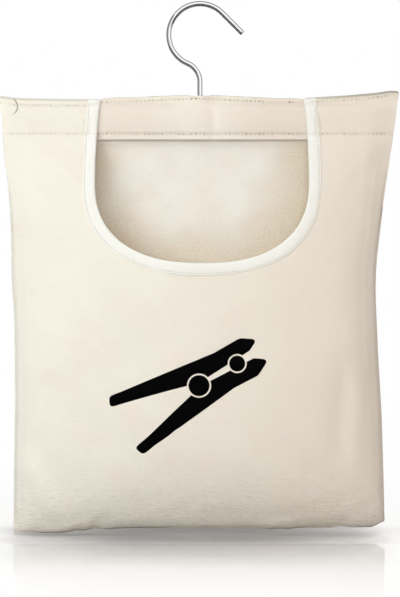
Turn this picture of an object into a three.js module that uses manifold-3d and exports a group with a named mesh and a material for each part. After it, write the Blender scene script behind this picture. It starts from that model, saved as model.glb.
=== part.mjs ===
// A peg bag: a canvas pocket with a bound U-shaped mouth, hung from a wooden bar with a swivel hook.
// Millimetres, +Z up. The origin is the inside top of the hook, where it rests on a line or a rail.
// The front faces -Y, and +X is to the right of someone who looks at the front.

import * as THREE from "three";
import { mergeVertices } from "three/addons/utils/BufferGeometryUtils.js";
import Module from "manifold-3d";

const wasm = await Module();
wasm.setup();

// Cloth
const canvasThickness = 0.8;
const tapeThickness = 0.6;
const threadDiameter = 0.8;
const layerGap = 0.3;

// Hook
const wireDiameter = 4.4;
const hookRadius = 25.8;
const neckRadius = 16.5;
const armLength = 23.5;
const armAngle = THREE.MathUtils.degToRad(45);
const hookToBag = 51.55;
const stemHeadDiameter = 6.6;
const stemHeadHeight = 1.4;

// Bar and washer
const barDiameter = 10;
const barLength = 292;
const barEndRadius = 3;
const barClearance = 0.6;
const barHeadroom = 2.4;
const boreClearance = 0.25;
const washerDiameter = 8.4;
const washerThickness = 0.8;

// Bag outline
const bagTopWidth = 330;
const bagWaistWidth = 300;
const bagBottomWidth = 305;
const bagHeight = 357;
const waistDrop = 160;
const waistPower = 1.6;

// Pocket
const frontBelly = 25;
const backBelly = 26;
const bellyDrop = 250;
const pocketPower = 4;
const channelPower = 24;
const edgeRun = 16;
const sectionRun = 80;

// Hems and seams
const seamHeight = 4.6;
const topStitchDrop = 3.4;
const hemStitchDrop = 31;
const hemDepth = 35;
const foldHeight = 1.2;
const slitWidth = 7.4;
const allowanceWidth = 10;
const allowanceTaper = 2.5;

// Mouth
const mouthTopWidth = 168;
const mouthWidth = 176;
const mouthDepth = 138;
const mouthRoundDrop = 71;
const mouthPower = 2.4;
const mouthOffset = 1.9;
const tapeWidth = 10;
const tapeStitchInset = 1.6;

// Cutting tools run past what they cut by this much
const overrun = 5;

// Derived places
const hookCentreZ = wireDiameter / 2 - hookRadius;
const bagTopZ = hookCentreZ - hookToBag;
const barDrop = seamHeight + barHeadroom + barDiameter / 2;
const barZ = bagTopZ - barDrop;
const channelRadius = barDiameter / 2 + barClearance;
const partingRise = barDiameter / 2 + barHeadroom;
const tangentAngle = Math.acos(channelRadius / partingRise);
const restGap = layerGap / 2;
const hemSpacing = tapeThickness + 2 * layerGap;
const frontStack = 3 * canvasThickness + hemSpacing + layerGap;
const threadLift = layerGap + threadDiameter / 2;

const smoothstep = THREE.MathUtils.smoothstep;
const lerp = THREE.MathUtils.lerp;

// Solids

function solidOf(geometry) {
  const bare = geometry.clone();
  bare.deleteAttribute("normal");
  bare.deleteAttribute("uv");
  const merged = mergeVertices(bare, canvasThickness / 1000);
  return new wasm.Manifold(
    new wasm.Mesh({
      numProp: 3,
      vertProperties: merged.attributes.position.array,
      triVerts: new Uint32Array(merged.index.array),
    }),
  );
}

function geometryOf(solid) {
  const mesh = solid.getMesh();
  const geometry = new THREE.BufferGeometry();
  geometry.setAttribute("position", new THREE.BufferAttribute(mesh.vertProperties, 3));
  geometry.setIndex(new THREE.BufferAttribute(mesh.triVerts, 1));
  geometry.computeVertexNormals();
  return geometry;
}

function signedVolume(points, faces) {
  let volume = 0;
  for (const [a, b, c] of faces) {
    volume += points[a].dot(new THREE.Vector3().crossVectors(points[b], points[c]));
  }
  return volume;
}

// A closed surface from its points and triangles, turned so that its faces point out
function closedGeometry(points, faces) {
  const inward = signedVolume(points, faces) < 0;
  const index = faces.flatMap(([a, b, c]) => (inward ? [a, c, b] : [a, b, c]));
  const geometry = new THREE.BufferGeometry().setFromPoints(points);
  geometry.setIndex(index);
  return geometry;
}

// The body between two grids of points with the same rows and columns
function slab(outer, inner) {
  const rows = outer.length;
  const columns = outer[0].length;
  const points = [...outer.flat(), ...inner.flat()];
  const at = (layer, row, column) => (layer * rows + row) * columns + column;
  const faces = [];
  const quad = (a, b, c, d) => faces.push([a, b, c], [a, c, d]);
  for (let row = 0; row + 1 < rows; row++) {
    for (let column = 0; column + 1 < columns; column++) {
      const ring = (layer) => [
        at(layer, row, column),
        at(layer, row, column + 1),
        at(layer, row + 1, column + 1),
        at(layer, row + 1, column),
      ];
      const [a, b, c, d] = ring(1);
      quad(...ring(0));
      quad(a, d, c, b);
    }
    const last = columns - 1;
    quad(at(0, row, 0), at(0, row + 1, 0), at(1, row + 1, 0), at(1, row, 0));
    quad(at(0, row + 1, last), at(0, row, last), at(1, row, last), at(1, row + 1, last));
  }
  for (let column = 0; column + 1 < columns; column++) {
    const last = rows - 1;
    quad(at(0, 0, column + 1), at(0, 0, column), at(1, 0, column), at(1, 0, column + 1));
    quad(at(0, last, column), at(0, last, column + 1), at(1, last, column + 1), at(1, last, column));
  }
  return closedGeometry(points, faces);
}

// The body through a run of rings. The outline gives the first ring flat, so that its ends are closed.
function loft(rings, outline) {
  const count = outline.length;
  const faces = [];
  for (let ring = 0; ring + 1 < rings.length; ring++) {
    for (let i = 0; i < count; i++) {
      const next = (i + 1) % count;
      const a = ring * count + i;
      const b = ring * count + next;
      faces.push([a, b, b + count], [a, b + count, a + count]);
    }
  }
  const ccw = THREE.ShapeUtils.isClockWise(outline) ? [...outline].reverse() : outline;
  const place = (i) => (ccw === outline ? i : count - 1 - i);
  const lastRing = (rings.length - 1) * count;
  for (const [a, b, c] of THREE.ShapeUtils.triangulateShape(ccw, [])) {
    const cap = ccw === outline ? [place(c), place(b), place(a)] : [place(a), place(b), place(c)];
    faces.push(cap);
    faces.push([lastRing + cap[2], lastRing + cap[1], lastRing + cap[0]]);
  }
  return closedGeometry(rings.flat(), faces);
}

// A thread along straight stretches, mitred where it bends
function threadAlong(points) {
  const sides = 5;
  const radius = threadDiameter / 2;
  const rings = points.map((point, i) => {
    const before = points[Math.max(i - 1, 0)];
    const after = points[Math.min(i + 1, points.length - 1)];
    const along = after.clone().sub(before).normalize();
    const across = new THREE.Vector3(0, -1, 0).cross(along).normalize();
    const out = along.clone().cross(across).normalize();
    return Array.from({ length: sides }, (_, side) => {
      const angle = (2 * Math.PI * side) / sides;
      return point
        .clone()
        .addScaledVector(across, radius * Math.cos(angle))
        .addScaledVector(out, radius * Math.sin(angle));
    });
  });
  const outline = Array.from({ length: sides }, (_, side) => {
    const angle = (2 * Math.PI * side) / sides;
    return new THREE.Vector2(Math.cos(angle), Math.sin(angle));
  });
  return loft(rings, outline);
}

function material(colour, roughness, metalness = 0) {
  return new THREE.MeshStandardMaterial({ color: colour, roughness, metalness });
}

const canvas = () => material(0xeae4d6, 0.92);
const tape = () => material(0xf6f3ea, 0.88);
const thread = () => material(0xf1ecdd, 0.7);
const chrome = () => material(0xc9cbce, 0.14, 1);
const wood = () => material(0xd8b98a, 0.6);

function part(name, geometry, finish) {
  const mesh = new THREE.Mesh(geometry, finish);
  mesh.name = name;
  return mesh;
}

// The bag's shape. A drop is a distance below the bag's top edge.

function halfWidth(drop) {
  const waist = bagWaistWidth / 2;
  if (drop < waistDrop) {
    const rise = (1 - drop / waistDrop) ** waistPower;
    return lerp(waist, bagTopWidth / 2, rise);
  }
  return lerp(waist, bagBottomWidth / 2, smoothstep(drop, waistDrop, bagHeight));
}

// Half the clear width of the bar's channel: shut in the top seam, round the bar, shut at the hem stitch
function channelHalf(drop) {
  const rise = barDrop - drop;
  if (rise >= partingRise || drop >= hemStitchDrop) return restGap;
  if (rise <= 0) {
    const share = rise / (barDrop - hemStitchDrop);
    return lerp(channelRadius, restGap, share ** 2);
  }
  const tangentRise = channelRadius * Math.cos(tangentAngle);
  if (rise <= tangentRise) return Math.sqrt(channelRadius ** 2 - rise ** 2);
  const tangentHalf = channelRadius * Math.sin(tangentAngle);
  return THREE.MathUtils.mapLinear(rise, partingRise, tangentRise, restGap, tangentHalf);
}

const front = {
  sign: -1,
  belly: frontBelly,
  hemFace: (drop) => (drop < barDrop ? channelHalf(drop) : channelRadius) + frontStack,
};

const back = {
  sign: 1,
  belly: backBelly,
  hemFace: (drop) => channelHalf(drop) + canvasThickness,
};

// How far the outer face of a panel stands off the middle plane, at mid-width and at the side edge
function faceDepth(panel, drop) {
  if (drop <= hemDepth) return panel.hemFace(drop);
  const share = Math.min((drop - hemDepth) / (bellyDrop - hemDepth), 1);
  return lerp(panel.hemFace(hemDepth), panel.belly, Math.sin((share * Math.PI) / 2));
}

// 0 where the hems lie flat at the side edge, 1 where the side seam joins the panels edge to edge
function seamShare(drop) {
  return smoothstep(drop, hemDepth, hemDepth + edgeRun);
}

function section(share, drop) {
  const flat = Math.sqrt(1 - Math.abs(share) ** channelPower);
  const round = Math.sqrt(1 - Math.abs(share) ** pocketPower);
  return lerp(flat, round, smoothstep(drop, hemDepth, hemDepth + sectionRun));
}

function outerY(panel, share, drop, closing = 1) {
  const edge = lerp(panel.hemFace(0), restGap, seamShare(drop));
  return panel.sign * lerp(edge, faceDepth(panel, drop), section(share, drop) * closing);
}

function innerY(panel, share, drop, closing = 1) {
  const edge = lerp(panel.hemFace(0) - canvasThickness, restGap, seamShare(drop));
  const face = faceDepth(panel, drop) - canvasThickness;
  return panel.sign * lerp(edge, face, section(share, drop) * closing);
}

function innerHalfWidth(drop) {
  return halfWidth(drop) - canvasThickness * seamShare(drop);
}

function shares(count) {
  return Array.from({ length: count + 1 }, (_, i) => i / count);
}

// Rows and columns that the cloth bodies share

const channelRows = [
  seamHeight,
  ...shares(2).map((share) => {
    const angle = lerp(tangentAngle, Math.PI / 2, share);
    return barDrop - channelRadius * Math.cos(angle);
  }),
  ...shares(4).slice(1).map((share) => lerp(barDrop, hemStitchDrop, share)),
];
const hemRows = [foldHeight / 2, ...channelRows, hemDepth];
const pocketRows = shares(10).slice(1).map((share) => lerp(hemDepth, bellyDrop, share));
const closingAngles = shares(6).slice(1).map((share) => (share * Math.PI) / 2);
const columnShares = shares(22).map((share) => Math.sin((share - 0.5) * Math.PI));

function panelShell(panel) {
  const rows = [...hemRows, ...pocketRows].map((drop) => ({ outer: drop, inner: drop, closing: 1 }));
  for (const angle of closingAngles) {
    const reach = Math.sqrt(Math.sin(angle));
    rows.push({
      outer: lerp(bellyDrop, bagHeight, reach),
      inner: lerp(bellyDrop, bagHeight - canvasThickness, reach),
      closing: Math.cos(angle),
    });
  }
  const outer = rows.map((row) =>
    columnShares.map((share) => {
      const y = outerY(panel, share, row.outer, row.closing);
      return new THREE.Vector3(share * halfWidth(row.outer), y, bagTopZ - row.outer);
    }),
  );
  const inner = rows.map((row) =>
    columnShares.map((share) => {
      const y = innerY(panel, share, row.inner, row.closing);
      return new THREE.Vector3(share * innerHalfWidth(row.inner), y, bagTopZ - row.inner);
    }),
  );
  return solidOf(slab(outer, inner));
}

// The turned hem, from the fold at the top edge down, with its faces given as functions of place
function hemLeaf(outerFace) {
  const grid = (offset) =>
    hemRows.map((drop) =>
      columnShares.map((share) => {
        const y = outerFace(share, drop) + offset;
        return new THREE.Vector3(share * halfWidth(drop), y, bagTopZ - drop);
      }),
    );
  return solidOf(slab(grid(0), grid(canvasThickness)));
}

// The fold along the top edge, between the two faces that it joins
function topFold(yFront, yBack) {
  const half = bagTopWidth / 2;
  const middle = (yFront + yBack) / 2;
  const radius = (yBack - yFront) / 2;
  const springZ = bagTopZ - foldHeight / 2;
  const outline = shares(4).map((share) => {
    const angle = Math.PI * (1 - share);
    const rise = (foldHeight / 2) * Math.sin(angle);
    return new THREE.Vector2(middle + radius * Math.cos(angle), springZ + rise);
  });
  outline.push(new THREE.Vector2(yBack, bagTopZ - foldHeight));
  outline.push(new THREE.Vector2(yFront, bagTopZ - foldHeight));
  const rings = [-half, half].map((x) => outline.map((point) => new THREE.Vector3(x, point.x, point.y)));
  return solidOf(loft(rings, outline));
}

// Mouth

function mouthHalf(drop) {
  const share = Math.sin((Math.PI / 2) * Math.min(drop / mouthRoundDrop, 1));
  return lerp(mouthTopWidth / 2, mouthWidth / 2, share);
}

const tapeRows = [
  0,
  ...channelRows,
  hemDepth + layerGap,
  hemDepth + layerGap + 2 * canvasThickness,
  ...shares(2).slice(1).map((share) => lerp(hemDepth + tapeWidth / 2, mouthRoundDrop, share)),
];

// The edge of the opening from the left shoulder round to the right one, as x and drop
function mouthEdge() {
  const right = tapeRows.map((drop) => new THREE.Vector2(mouthHalf(drop), drop));
  for (const share of shares(14).slice(1)) {
    const angle = (share * Math.PI) / 2;
    const x = (mouthWidth / 2) * Math.cos(angle) ** (2 / mouthPower);
    const reach = Math.sin(angle) ** (2 / mouthPower);
    right.push(new THREE.Vector2(x, lerp(mouthRoundDrop, mouthDepth, reach)));
  }
  const left = right.slice(0, -1).map((point) => new THREE.Vector2(-point.x, point.y));
  const whole = [...left, ...right.reverse()];
  return whole.map((point, i) => {
    const at = new THREE.Vector2(point.x + mouthOffset, point.y);
    if (point.y <= mouthRoundDrop) return { at, out: new THREE.Vector2(Math.sign(point.x), 0) };
    const along = whole[i + 1].clone().sub(whole[i - 1]).normalize();
    return { at, out: new THREE.Vector2(-along.y, along.x) };
  });
}

const mouth = mouthEdge();

function awayFromMouth(edge, distance) {
  return edge.at.clone().addScaledVector(edge.out, distance);
}

function frontFaceY(x, drop) {
  return outerY(front, x / halfWidth(drop), drop);
}

// The rear face of what the tape folds round: the shoulder's hem leaf, and below it the panel alone
function frontRearY(x, drop) {
  const panelY = innerY(front, x / innerHalfWidth(drop), drop);
  const hemEnd = hemDepth + layerGap;
  const hemShare = 1 - THREE.MathUtils.clamp((drop - hemEnd) / (2 * canvasThickness), 0, 1);
  return panelY + (layerGap + canvasThickness) * hemShare;
}

function mouthCutter() {
  const clearance = tapeThickness + layerGap;
  const points = mouth.map((edge) => {
    const point = awayFromMouth(edge, clearance);
    return new THREE.Vector2(point.x, bagTopZ - point.y);
  });
  const above = bagTopZ + overrun;
  const left = new THREE.Vector2(points[0].x, above);
  const right = new THREE.Vector2(points[points.length - 1].x, above);
  const shape = new THREE.Shape([left, ...points, right]);
  const geometry = new THREE.ExtrudeGeometry(shape, {
    depth: frontBelly + overrun,
    bevelEnabled: false,
  });
  return solidOf(geometry.rotateX(Math.PI / 2));
}

function frontPanel() {
  const hemOffset = canvasThickness + layerGap;
  const leaf = hemLeaf((share, drop) => outerY(front, share, drop) + hemOffset);
  const frontEdgeY = -front.hemFace(0);
  const fold = topFold(frontEdgeY, frontEdgeY + hemOffset + canvasThickness);
  const whole = panelShell(front).add(leaf).add(fold);
  return part("front_panel", geometryOf(whole.subtract(mouthCutter())), canvas());
}

function backPanel() {
  const leafInner = (share, drop) => -lerp(restGap, channelHalf(drop), section(share, drop));
  const leaf = hemLeaf((share, drop) => leafInner(share, drop) - canvasThickness);
  const edgeY = back.hemFace(0);
  const whole = panelShell(back).add(leaf).add(topFold(-edgeY, edgeY));
  const slitDepth = barDrop + overrun;
  const slit = new THREE.CylinderGeometry(slitWidth / 2, slitWidth / 2, slitDepth, 16);
  slit.rotateX(Math.PI / 2);
  slit.translate(0, 0, barZ + slitDepth / 2);
  return part("back_panel", geometryOf(whole.subtract(solidOf(slit))), canvas());
}

// The tape is folded over the edge: a front leaf, a narrow web in the mouth and a rear leaf
function mouthBinding() {
  const sectionAt = (edge) => {
    const corner = (distance, lift, onFront) => {
      const place = awayFromMouth(edge, distance);
      const y = onFront ? frontFaceY(place.x, place.y) - lift : frontRearY(place.x, place.y) + lift;
      return new THREE.Vector3(place.x, y, bagTopZ - place.y);
    };
    const outside = layerGap + tapeThickness;
    return [
      corner(0, outside, true),
      corner(tapeWidth, outside, true),
      corner(tapeWidth, layerGap, true),
      corner(tapeThickness, layerGap, true),
      corner(tapeThickness, layerGap, false),
      corner(tapeWidth, layerGap, false),
      corner(tapeWidth, outside, false),
      corner(0, outside, false),
    ];
  };
  const rings = mouth.map(sectionAt);
  const outline = rings[0].map((point) => new THREE.Vector2(point.x, point.y));
  return part("mouth_binding", geometryOf(solidOf(loft(rings, outline))), tape());
}

// Threads

// Places along a shoulder from the tape to the side edge, as x on the given side
function shoulderPlaces(side, drop) {
  const inner = mouthOffset + side * (mouthHalf(drop) + tapeWidth + canvasThickness);
  const outer = side * (halfWidth(drop) - allowanceTaper);
  return shares(5).map((share) => lerp(inner, outer, Math.sin((share * Math.PI) / 2)));
}

// Two places over the tape, lifted clear of the row that holds the tape down
function overTape(side, drop, start) {
  const lift = layerGap + tapeThickness + threadDiameter + layerGap;
  const edgeX = mouthOffset + side * mouthHalf(drop);
  return [start, tapeWidth - layerGap].map((distance) => {
    const x = edgeX + side * distance;
    return new THREE.Vector3(x, frontFaceY(x, drop) - lift - threadLift, bagTopZ - drop);
  });
}

function shoulderRun(side, drop, start) {
  const outside = shoulderPlaces(side, drop).map(
    (x) => new THREE.Vector3(x, frontFaceY(x, drop) - threadLift, bagTopZ - drop),
  );
  return [...overTape(side, drop, start), ...outside];
}

// The top row stops short of the slit, where the hook's stem comes out of the seam
function topSeamThread(name, side) {
  const backY = -back.hemFace(0) - threadLift;
  const z = bagTopZ - topStitchDrop;
  const slitX = side * (slitWidth / 2 + threadDiameter);
  const mouthX = mouthOffset + side * (mouthHalf(topStitchDrop) - threadDiameter);
  const across = [slitX, mouthX].map((x) => new THREE.Vector3(x, backY, z));
  const run = [...across, ...shoulderRun(side, topStitchDrop, -threadDiameter)];
  return part(name, geometryOf(solidOf(threadAlong(run))), thread());
}

function frontHemThread(name, side) {
  const run = shoulderRun(side, hemStitchDrop, tapeThickness);
  return part(name, geometryOf(solidOf(threadAlong(run))), thread());
}

function backHemThread() {
  const half = halfWidth(hemStitchDrop) - allowanceTaper;
  const y = -back.hemFace(hemStitchDrop) - threadLift;
  const run = [-half, half].map((x) => new THREE.Vector3(x, y, bagTopZ - hemStitchDrop));
  return part("back_hem_thread", geometryOf(solidOf(threadAlong(run))), thread());
}

function bindingThread() {
  const run = mouth.map((edge) => {
    const place = awayFromMouth(edge, tapeWidth - tapeStitchInset);
    const y = frontFaceY(place.x, place.y) - layerGap - tapeThickness - threadLift;
    return new THREE.Vector3(place.x, y, bagTopZ - place.y);
  });
  return part("binding_thread", geometryOf(solidOf(threadAlong(run))), thread());
}

// Seams: the two turned allowances lie together inside, from a thin edge at the seam inwards

function allowance(name, places, outward) {
  const half = canvasThickness + restGap;
  const inner = allowanceTaper + allowanceWidth;
  const outline = [
    new THREE.Vector2(0, 0),
    new THREE.Vector2(allowanceTaper, half),
    new THREE.Vector2(inner, half),
    new THREE.Vector2(inner, -half),
    new THREE.Vector2(allowanceTaper, -half),
  ];
  const rings = places.map((place) =>
    outline.map((corner) => {
      const point = place.clone().addScaledVector(outward, -corner.x);
      return point.setY(corner.y);
    }),
  );
  return part(name, geometryOf(solidOf(loft(rings, outline))), canvas());
}

function sideSeam(name, side) {
  const top = hemDepth + edgeRun + allowanceWidth;
  const bottom = bagHeight - 2 * (allowanceWidth + allowanceTaper);
  const places = shares(8).map((share) => {
    const drop = lerp(top, bottom, share);
    const x = side * (innerHalfWidth(drop) - layerGap);
    return new THREE.Vector3(x, 0, bagTopZ - drop);
  });
  return allowance(name, places, new THREE.Vector3(side, 0, 0));
}

function bottomSeam() {
  const drop = bagHeight - canvasThickness - layerGap;
  const half = innerHalfWidth(drop) - 2 * (allowanceWidth + allowanceTaper);
  const places = [-half, half].map((x) => new THREE.Vector3(x, 0, bagTopZ - drop));
  return allowance("bottom_seam", places, new THREE.Vector3(0, 0, -1));
}

// Bar and hook

function bar() {
  const radius = barDiameter / 2;
  const half = barLength / 2;
  const profile = [new THREE.Vector2(0, -half)];
  for (const share of shares(3)) {
    const angle = (share * Math.PI) / 2;
    const x = radius - barEndRadius + barEndRadius * Math.sin(angle);
    profile.push(new THREE.Vector2(x, -half + barEndRadius * (1 - Math.cos(angle))));
  }
  const upper = [...profile].reverse().map((point) => new THREE.Vector2(point.x, -point.y));
  const geometry = new THREE.LatheGeometry([...profile, ...upper], 28);
  geometry.rotateZ(-Math.PI / 2);
  const boreRadius = wireDiameter / 2 + boreClearance;
  const bore = new THREE.CylinderGeometry(boreRadius, boreRadius, barDiameter + overrun, 20);
  bore.rotateX(Math.PI / 2);
  const solid = solidOf(geometry).subtract(solidOf(bore));
  const mesh = part("bar", geometryOf(solid), wood());
  mesh.position.set(0, 0, barZ);
  return mesh;
}

const washerTop = -barDiameter / 2 - layerGap;
const headTop = washerTop - washerThickness - layerGap;

function hookWasher() {
  const boreRadius = wireDiameter / 2 + layerGap;
  const ring = [
    new THREE.Vector2(boreRadius, 0),
    new THREE.Vector2(washerDiameter / 2, 0),
    new THREE.Vector2(washerDiameter / 2, washerThickness),
    new THREE.Vector2(boreRadius, washerThickness),
    new THREE.Vector2(boreRadius, 0),
  ];
  const geometry = new THREE.LatheGeometry(ring, 28).rotateX(Math.PI / 2);
  const mesh = part("hook_washer", geometryOf(solidOf(geometry)), chrome());
  mesh.position.set(0, 0, barZ + washerTop - washerThickness);
  return mesh;
}

// An arc in the XZ plane, with angles from +X towards +Z
class UprightArc extends THREE.Curve {
  constructor(centreX, centreZ, radius, fromAngle, toAngle) {
    super();
    Object.assign(this, { centreX, centreZ, radius, fromAngle, toAngle });
  }

  getPoint(t, target = new THREE.Vector3()) {
    const angle = lerp(this.fromAngle, this.toAngle, t);
    const x = this.centreX + this.radius * Math.cos(angle);
    return target.set(x, 0, this.centreZ + this.radius * Math.sin(angle));
  }
}

// The wire's middle line: straight arm, round hook, the neck's reverse bend and the straight stem.
// The neck's bend ends on the hook's own axis, so that the bag hangs straight under the crown.
function hookPath() {
  const joinAngle = Math.PI + Math.acos(neckRadius / (hookRadius + neckRadius));
  const neckCentreZ = hookCentreZ + (hookRadius + neckRadius) * Math.sin(joinAngle);
  const armStart = new THREE.Vector3(
    hookRadius * Math.sin(armAngle),
    0,
    hookCentreZ + hookRadius * Math.cos(armAngle),
  );
  const armDirection = new THREE.Vector3(Math.cos(armAngle), 0, -Math.sin(armAngle));
  const tip = armStart.clone().addScaledVector(armDirection, armLength);
  const path = new THREE.CurvePath();
  path.add(new THREE.LineCurve3(tip, armStart));
  path.add(new UprightArc(0, hookCentreZ, hookRadius, Math.PI / 2 - armAngle, joinAngle));
  path.add(new UprightArc(-neckRadius, neckCentreZ, neckRadius, joinAngle - Math.PI, 0));
  const stemTop = new THREE.Vector3(0, 0, neckCentreZ);
  path.add(new THREE.LineCurve3(stemTop, new THREE.Vector3(0, 0, barZ + headTop)));
  return path;
}

function hook() {
  const wireSides = 12;
  const circle = new THREE.Shape(
    shares(wireSides)
      .slice(1)
      .map((share) => {
        const angle = 2 * Math.PI * share;
        const radius = wireDiameter / 2;
        return new THREE.Vector2(radius * Math.cos(angle), radius * Math.sin(angle));
      }),
  );
  const wire = new THREE.ExtrudeGeometry(circle, { steps: 70, extrudePath: hookPath() });
  const headRadius = stemHeadDiameter / 2;
  const rim = stemHeadHeight / 2;
  const head = new THREE.LatheGeometry(
    [
      new THREE.Vector2(0, -stemHeadHeight),
      new THREE.Vector2(headRadius - rim, -stemHeadHeight),
      new THREE.Vector2(headRadius, -rim),
      new THREE.Vector2(headRadius, 0),
      new THREE.Vector2(0, 0),
    ],
    20,
  );
  head.rotateX(Math.PI / 2);
  head.translate(0, 0, barZ + headTop);
  const stub = new THREE.CylinderGeometry(wireDiameter / 3, wireDiameter / 3, stemHeadHeight, 12);
  stub.rotateX(Math.PI / 2);
  stub.translate(0, 0, barZ + headTop);
  const solid = solidOf(wire).add(solidOf(head)).add(solidOf(stub));
  return part("hook", geometryOf(solid), chrome());
}

const pegBag = new THREE.Group();
pegBag.name = "peg_bag";
pegBag.add(hook(), hookWasher(), bar());
pegBag.add(backPanel(), frontPanel(), mouthBinding());
pegBag.add(topSeamThread("top_seam_thread_left", -1), topSeamThread("top_seam_thread_right", 1));
pegBag.add(backHemThread(), bindingThread());
pegBag.add(frontHemThread("front_hem_thread_left", -1), frontHemThread("front_hem_thread_right", 1));
pegBag.add(sideSeam("side_seam_left", -1), sideSeam("side_seam_right", 1), bottomSeam());

export default pegBag;
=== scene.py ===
"""A sewn canvas peg bag on its swivel hook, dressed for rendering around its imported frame."""

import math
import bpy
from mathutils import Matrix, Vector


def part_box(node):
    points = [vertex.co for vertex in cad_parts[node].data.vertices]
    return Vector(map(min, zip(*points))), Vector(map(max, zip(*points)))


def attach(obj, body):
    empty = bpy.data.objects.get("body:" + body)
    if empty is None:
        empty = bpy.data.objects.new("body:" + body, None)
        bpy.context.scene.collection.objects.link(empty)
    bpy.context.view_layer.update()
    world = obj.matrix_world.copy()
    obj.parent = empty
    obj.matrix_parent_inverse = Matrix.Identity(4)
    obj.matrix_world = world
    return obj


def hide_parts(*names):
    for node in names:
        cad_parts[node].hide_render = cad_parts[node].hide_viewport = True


bl_info = {
    "name": "Peg Bag",
    "version": (1, 0, 0),
    "blender": (4, 5, 0),
    "location": "3D View > Sidebar > Peg Bag",
    "description": "Builds a sewn canvas peg bag with its hook, bar, mouth binding, stitches and print",
    "category": "Add Mesh",
}

import bpy
import numpy as np
from mathutils import Vector
from mathutils.geometry import delaunay_2d_cdt

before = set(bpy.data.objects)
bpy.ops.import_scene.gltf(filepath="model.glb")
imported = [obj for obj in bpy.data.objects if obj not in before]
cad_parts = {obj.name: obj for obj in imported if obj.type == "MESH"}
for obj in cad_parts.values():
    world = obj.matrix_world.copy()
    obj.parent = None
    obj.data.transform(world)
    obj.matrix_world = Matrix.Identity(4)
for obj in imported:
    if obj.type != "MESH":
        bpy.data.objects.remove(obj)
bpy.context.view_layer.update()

MM = 0.001

# Sizes read from the frame
back_low, back_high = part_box("back_panel")
front_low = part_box("front_panel")[0]
bar_low, bar_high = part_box("bar")
hook_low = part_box("hook")[0]
TOP_Z = back_high.z
BAG_HEIGHT = back_high.z - back_low.z
TOP_HALF = back_high.x
BAR_Z = (bar_low.z + bar_high.z) / 2
BAR_RADIUS = (bar_high.z - bar_low.z) / 2
BAR_DROP = TOP_Z - BAR_Z

# Cloth and its layers
CANVAS = 0.8 * MM
TAPE = 0.6 * MM
LAYER_GAP = 0.3 * MM
REST_GAP = 0.15 * MM
HEM_SPACING = TAPE + 2 * LAYER_GAP
FRONT_STACK = 3 * CANVAS + HEM_SPACING + LAYER_GAP

# The bag's outline and pocket
WAIST_HALF = 150 * MM
BOTTOM_HALF = 152.5 * MM
WAIST_DROP = 160 * MM
WAIST_POWER = 1.6
BELLY_DROP = 250 * MM
CHANNEL_RADIUS = BAR_RADIUS + 0.6 * MM
PARTING_RISE = BAR_RADIUS + 2.4 * MM
TANGENT_ANGLE = math.acos(CHANNEL_RADIUS / PARTING_RISE)
HEM_DEPTH = 35 * MM
HEM_STITCH = 31 * MM
TOP_STITCH = 3.4 * MM
LEFT_ROW_SHIFT = 1.8 * MM
EDGE_RUN = 16 * MM
SECTION_RUN = 80 * MM
FOLD_RADIUS = 0.55 * MM
SEAM_ALLOWANCE = 10 * MM
CUT_WIDTH = 2 * TOP_HALF + 2 * SEAM_ALLOWANCE

# The mouth and its tape
MOUTH_TOP_HALF = 84 * MM
MOUTH_HALF = 88 * MM
MOUTH_DEPTH = 138 * MM
MOUTH_ROUND = 71 * MM
MOUTH_POWER = 2.4
MOUTH_OFFSET = 1.9 * MM
TAPE_WIDTH = 10 * MM
TAPE_STITCH = 1.6 * MM

# The left bottom corner hangs a little lower than the rest
EAR_DROP = 4.6 * MM
# Below the bar the back's hem leans towards the front
HEM_LEAN = 3.4 * MM

# The floor: its tone to the camera, how far its painted shadow reaches, how much darker the painted shadow
# makes it under the bag along y in metres, the strength of its mirror, and the distances at which it turns to
# plain white
FLOOR_TONE = (1.95, 2.0, 2.08)
FLOOR_REACH = 0.26
FLOOR_PAINTED_SHADOW = (
    (-FLOOR_REACH, 0), (-0.2, 0.14), (-0.155, 0.28), (-0.08, 0.39), (-0.06, 0.5), (-0.04, 0.55), (-0.015, 0.46),
    (0.002, 0.26), (0.01, 0.26), (0.028, 0.51), (0.036, 0.5), (0.05, 0.6), (0.066, 0.58), (0.085, 0.3),
    (0.15, 0.12), (FLOOR_REACH, 0),
)
MIRROR_SHARE = 0.42
WHITE_FROM = 0.25
WHITE_BY = 0.8

# The room's light, and the point that the lamps face
ROOM_COLOUR = (1, 0.972, 0.935)
LAMP_AIM = (0, 0, -0.25)

# The drape's grid, its frames and the furthest that a point may move
DRAPE_ROWS = 67
DRAPE_COLUMNS = 59
DRAPE_FRAMES = 32
DRAPE_LIMIT = 12 * MM

RIGHT_ANGLE = math.pi / 2


def smooth(value, start, end):
    share = np.clip((value - start) / (end - start), 0, 1)
    return share * share * (3 - 2 * share)


def blend(first, second, share):
    return first + (second - first) * share


def bump(value, centre, width):
    return np.exp(-(((value - centre) / width) ** 2))


# Shape of the bag. A drop is a distance below the top edge, a share is x over the half width.


def half_width(drop):
    rise = np.clip(1 - drop / WAIST_DROP, 0, 1) ** WAIST_POWER
    above = blend(WAIST_HALF, TOP_HALF, rise)
    return above + (BOTTOM_HALF - WAIST_HALF) * smooth(drop, WAIST_DROP, BAG_HEIGHT)


def channel_half(drop):
    drop = np.asarray(drop, float)
    rise = BAR_DROP - drop
    tangent_rise = CHANNEL_RADIUS * math.cos(TANGENT_ANGLE)
    tangent_half = CHANNEL_RADIUS * math.sin(TANGENT_ANGLE)
    below = blend(CHANNEL_RADIUS, REST_GAP, (rise / (BAR_DROP - HEM_STITCH)) ** 2)
    around = np.sqrt(np.clip(CHANNEL_RADIUS**2 - rise**2, 0, None))
    share = (rise - PARTING_RISE) / (tangent_rise - PARTING_RISE)
    tangent = blend(REST_GAP, tangent_half, share)
    shut = (rise >= PARTING_RISE) | (drop >= HEM_STITCH)
    return np.select([shut, rise <= 0, rise <= tangent_rise], [REST_GAP, below, around], tangent)


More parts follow.
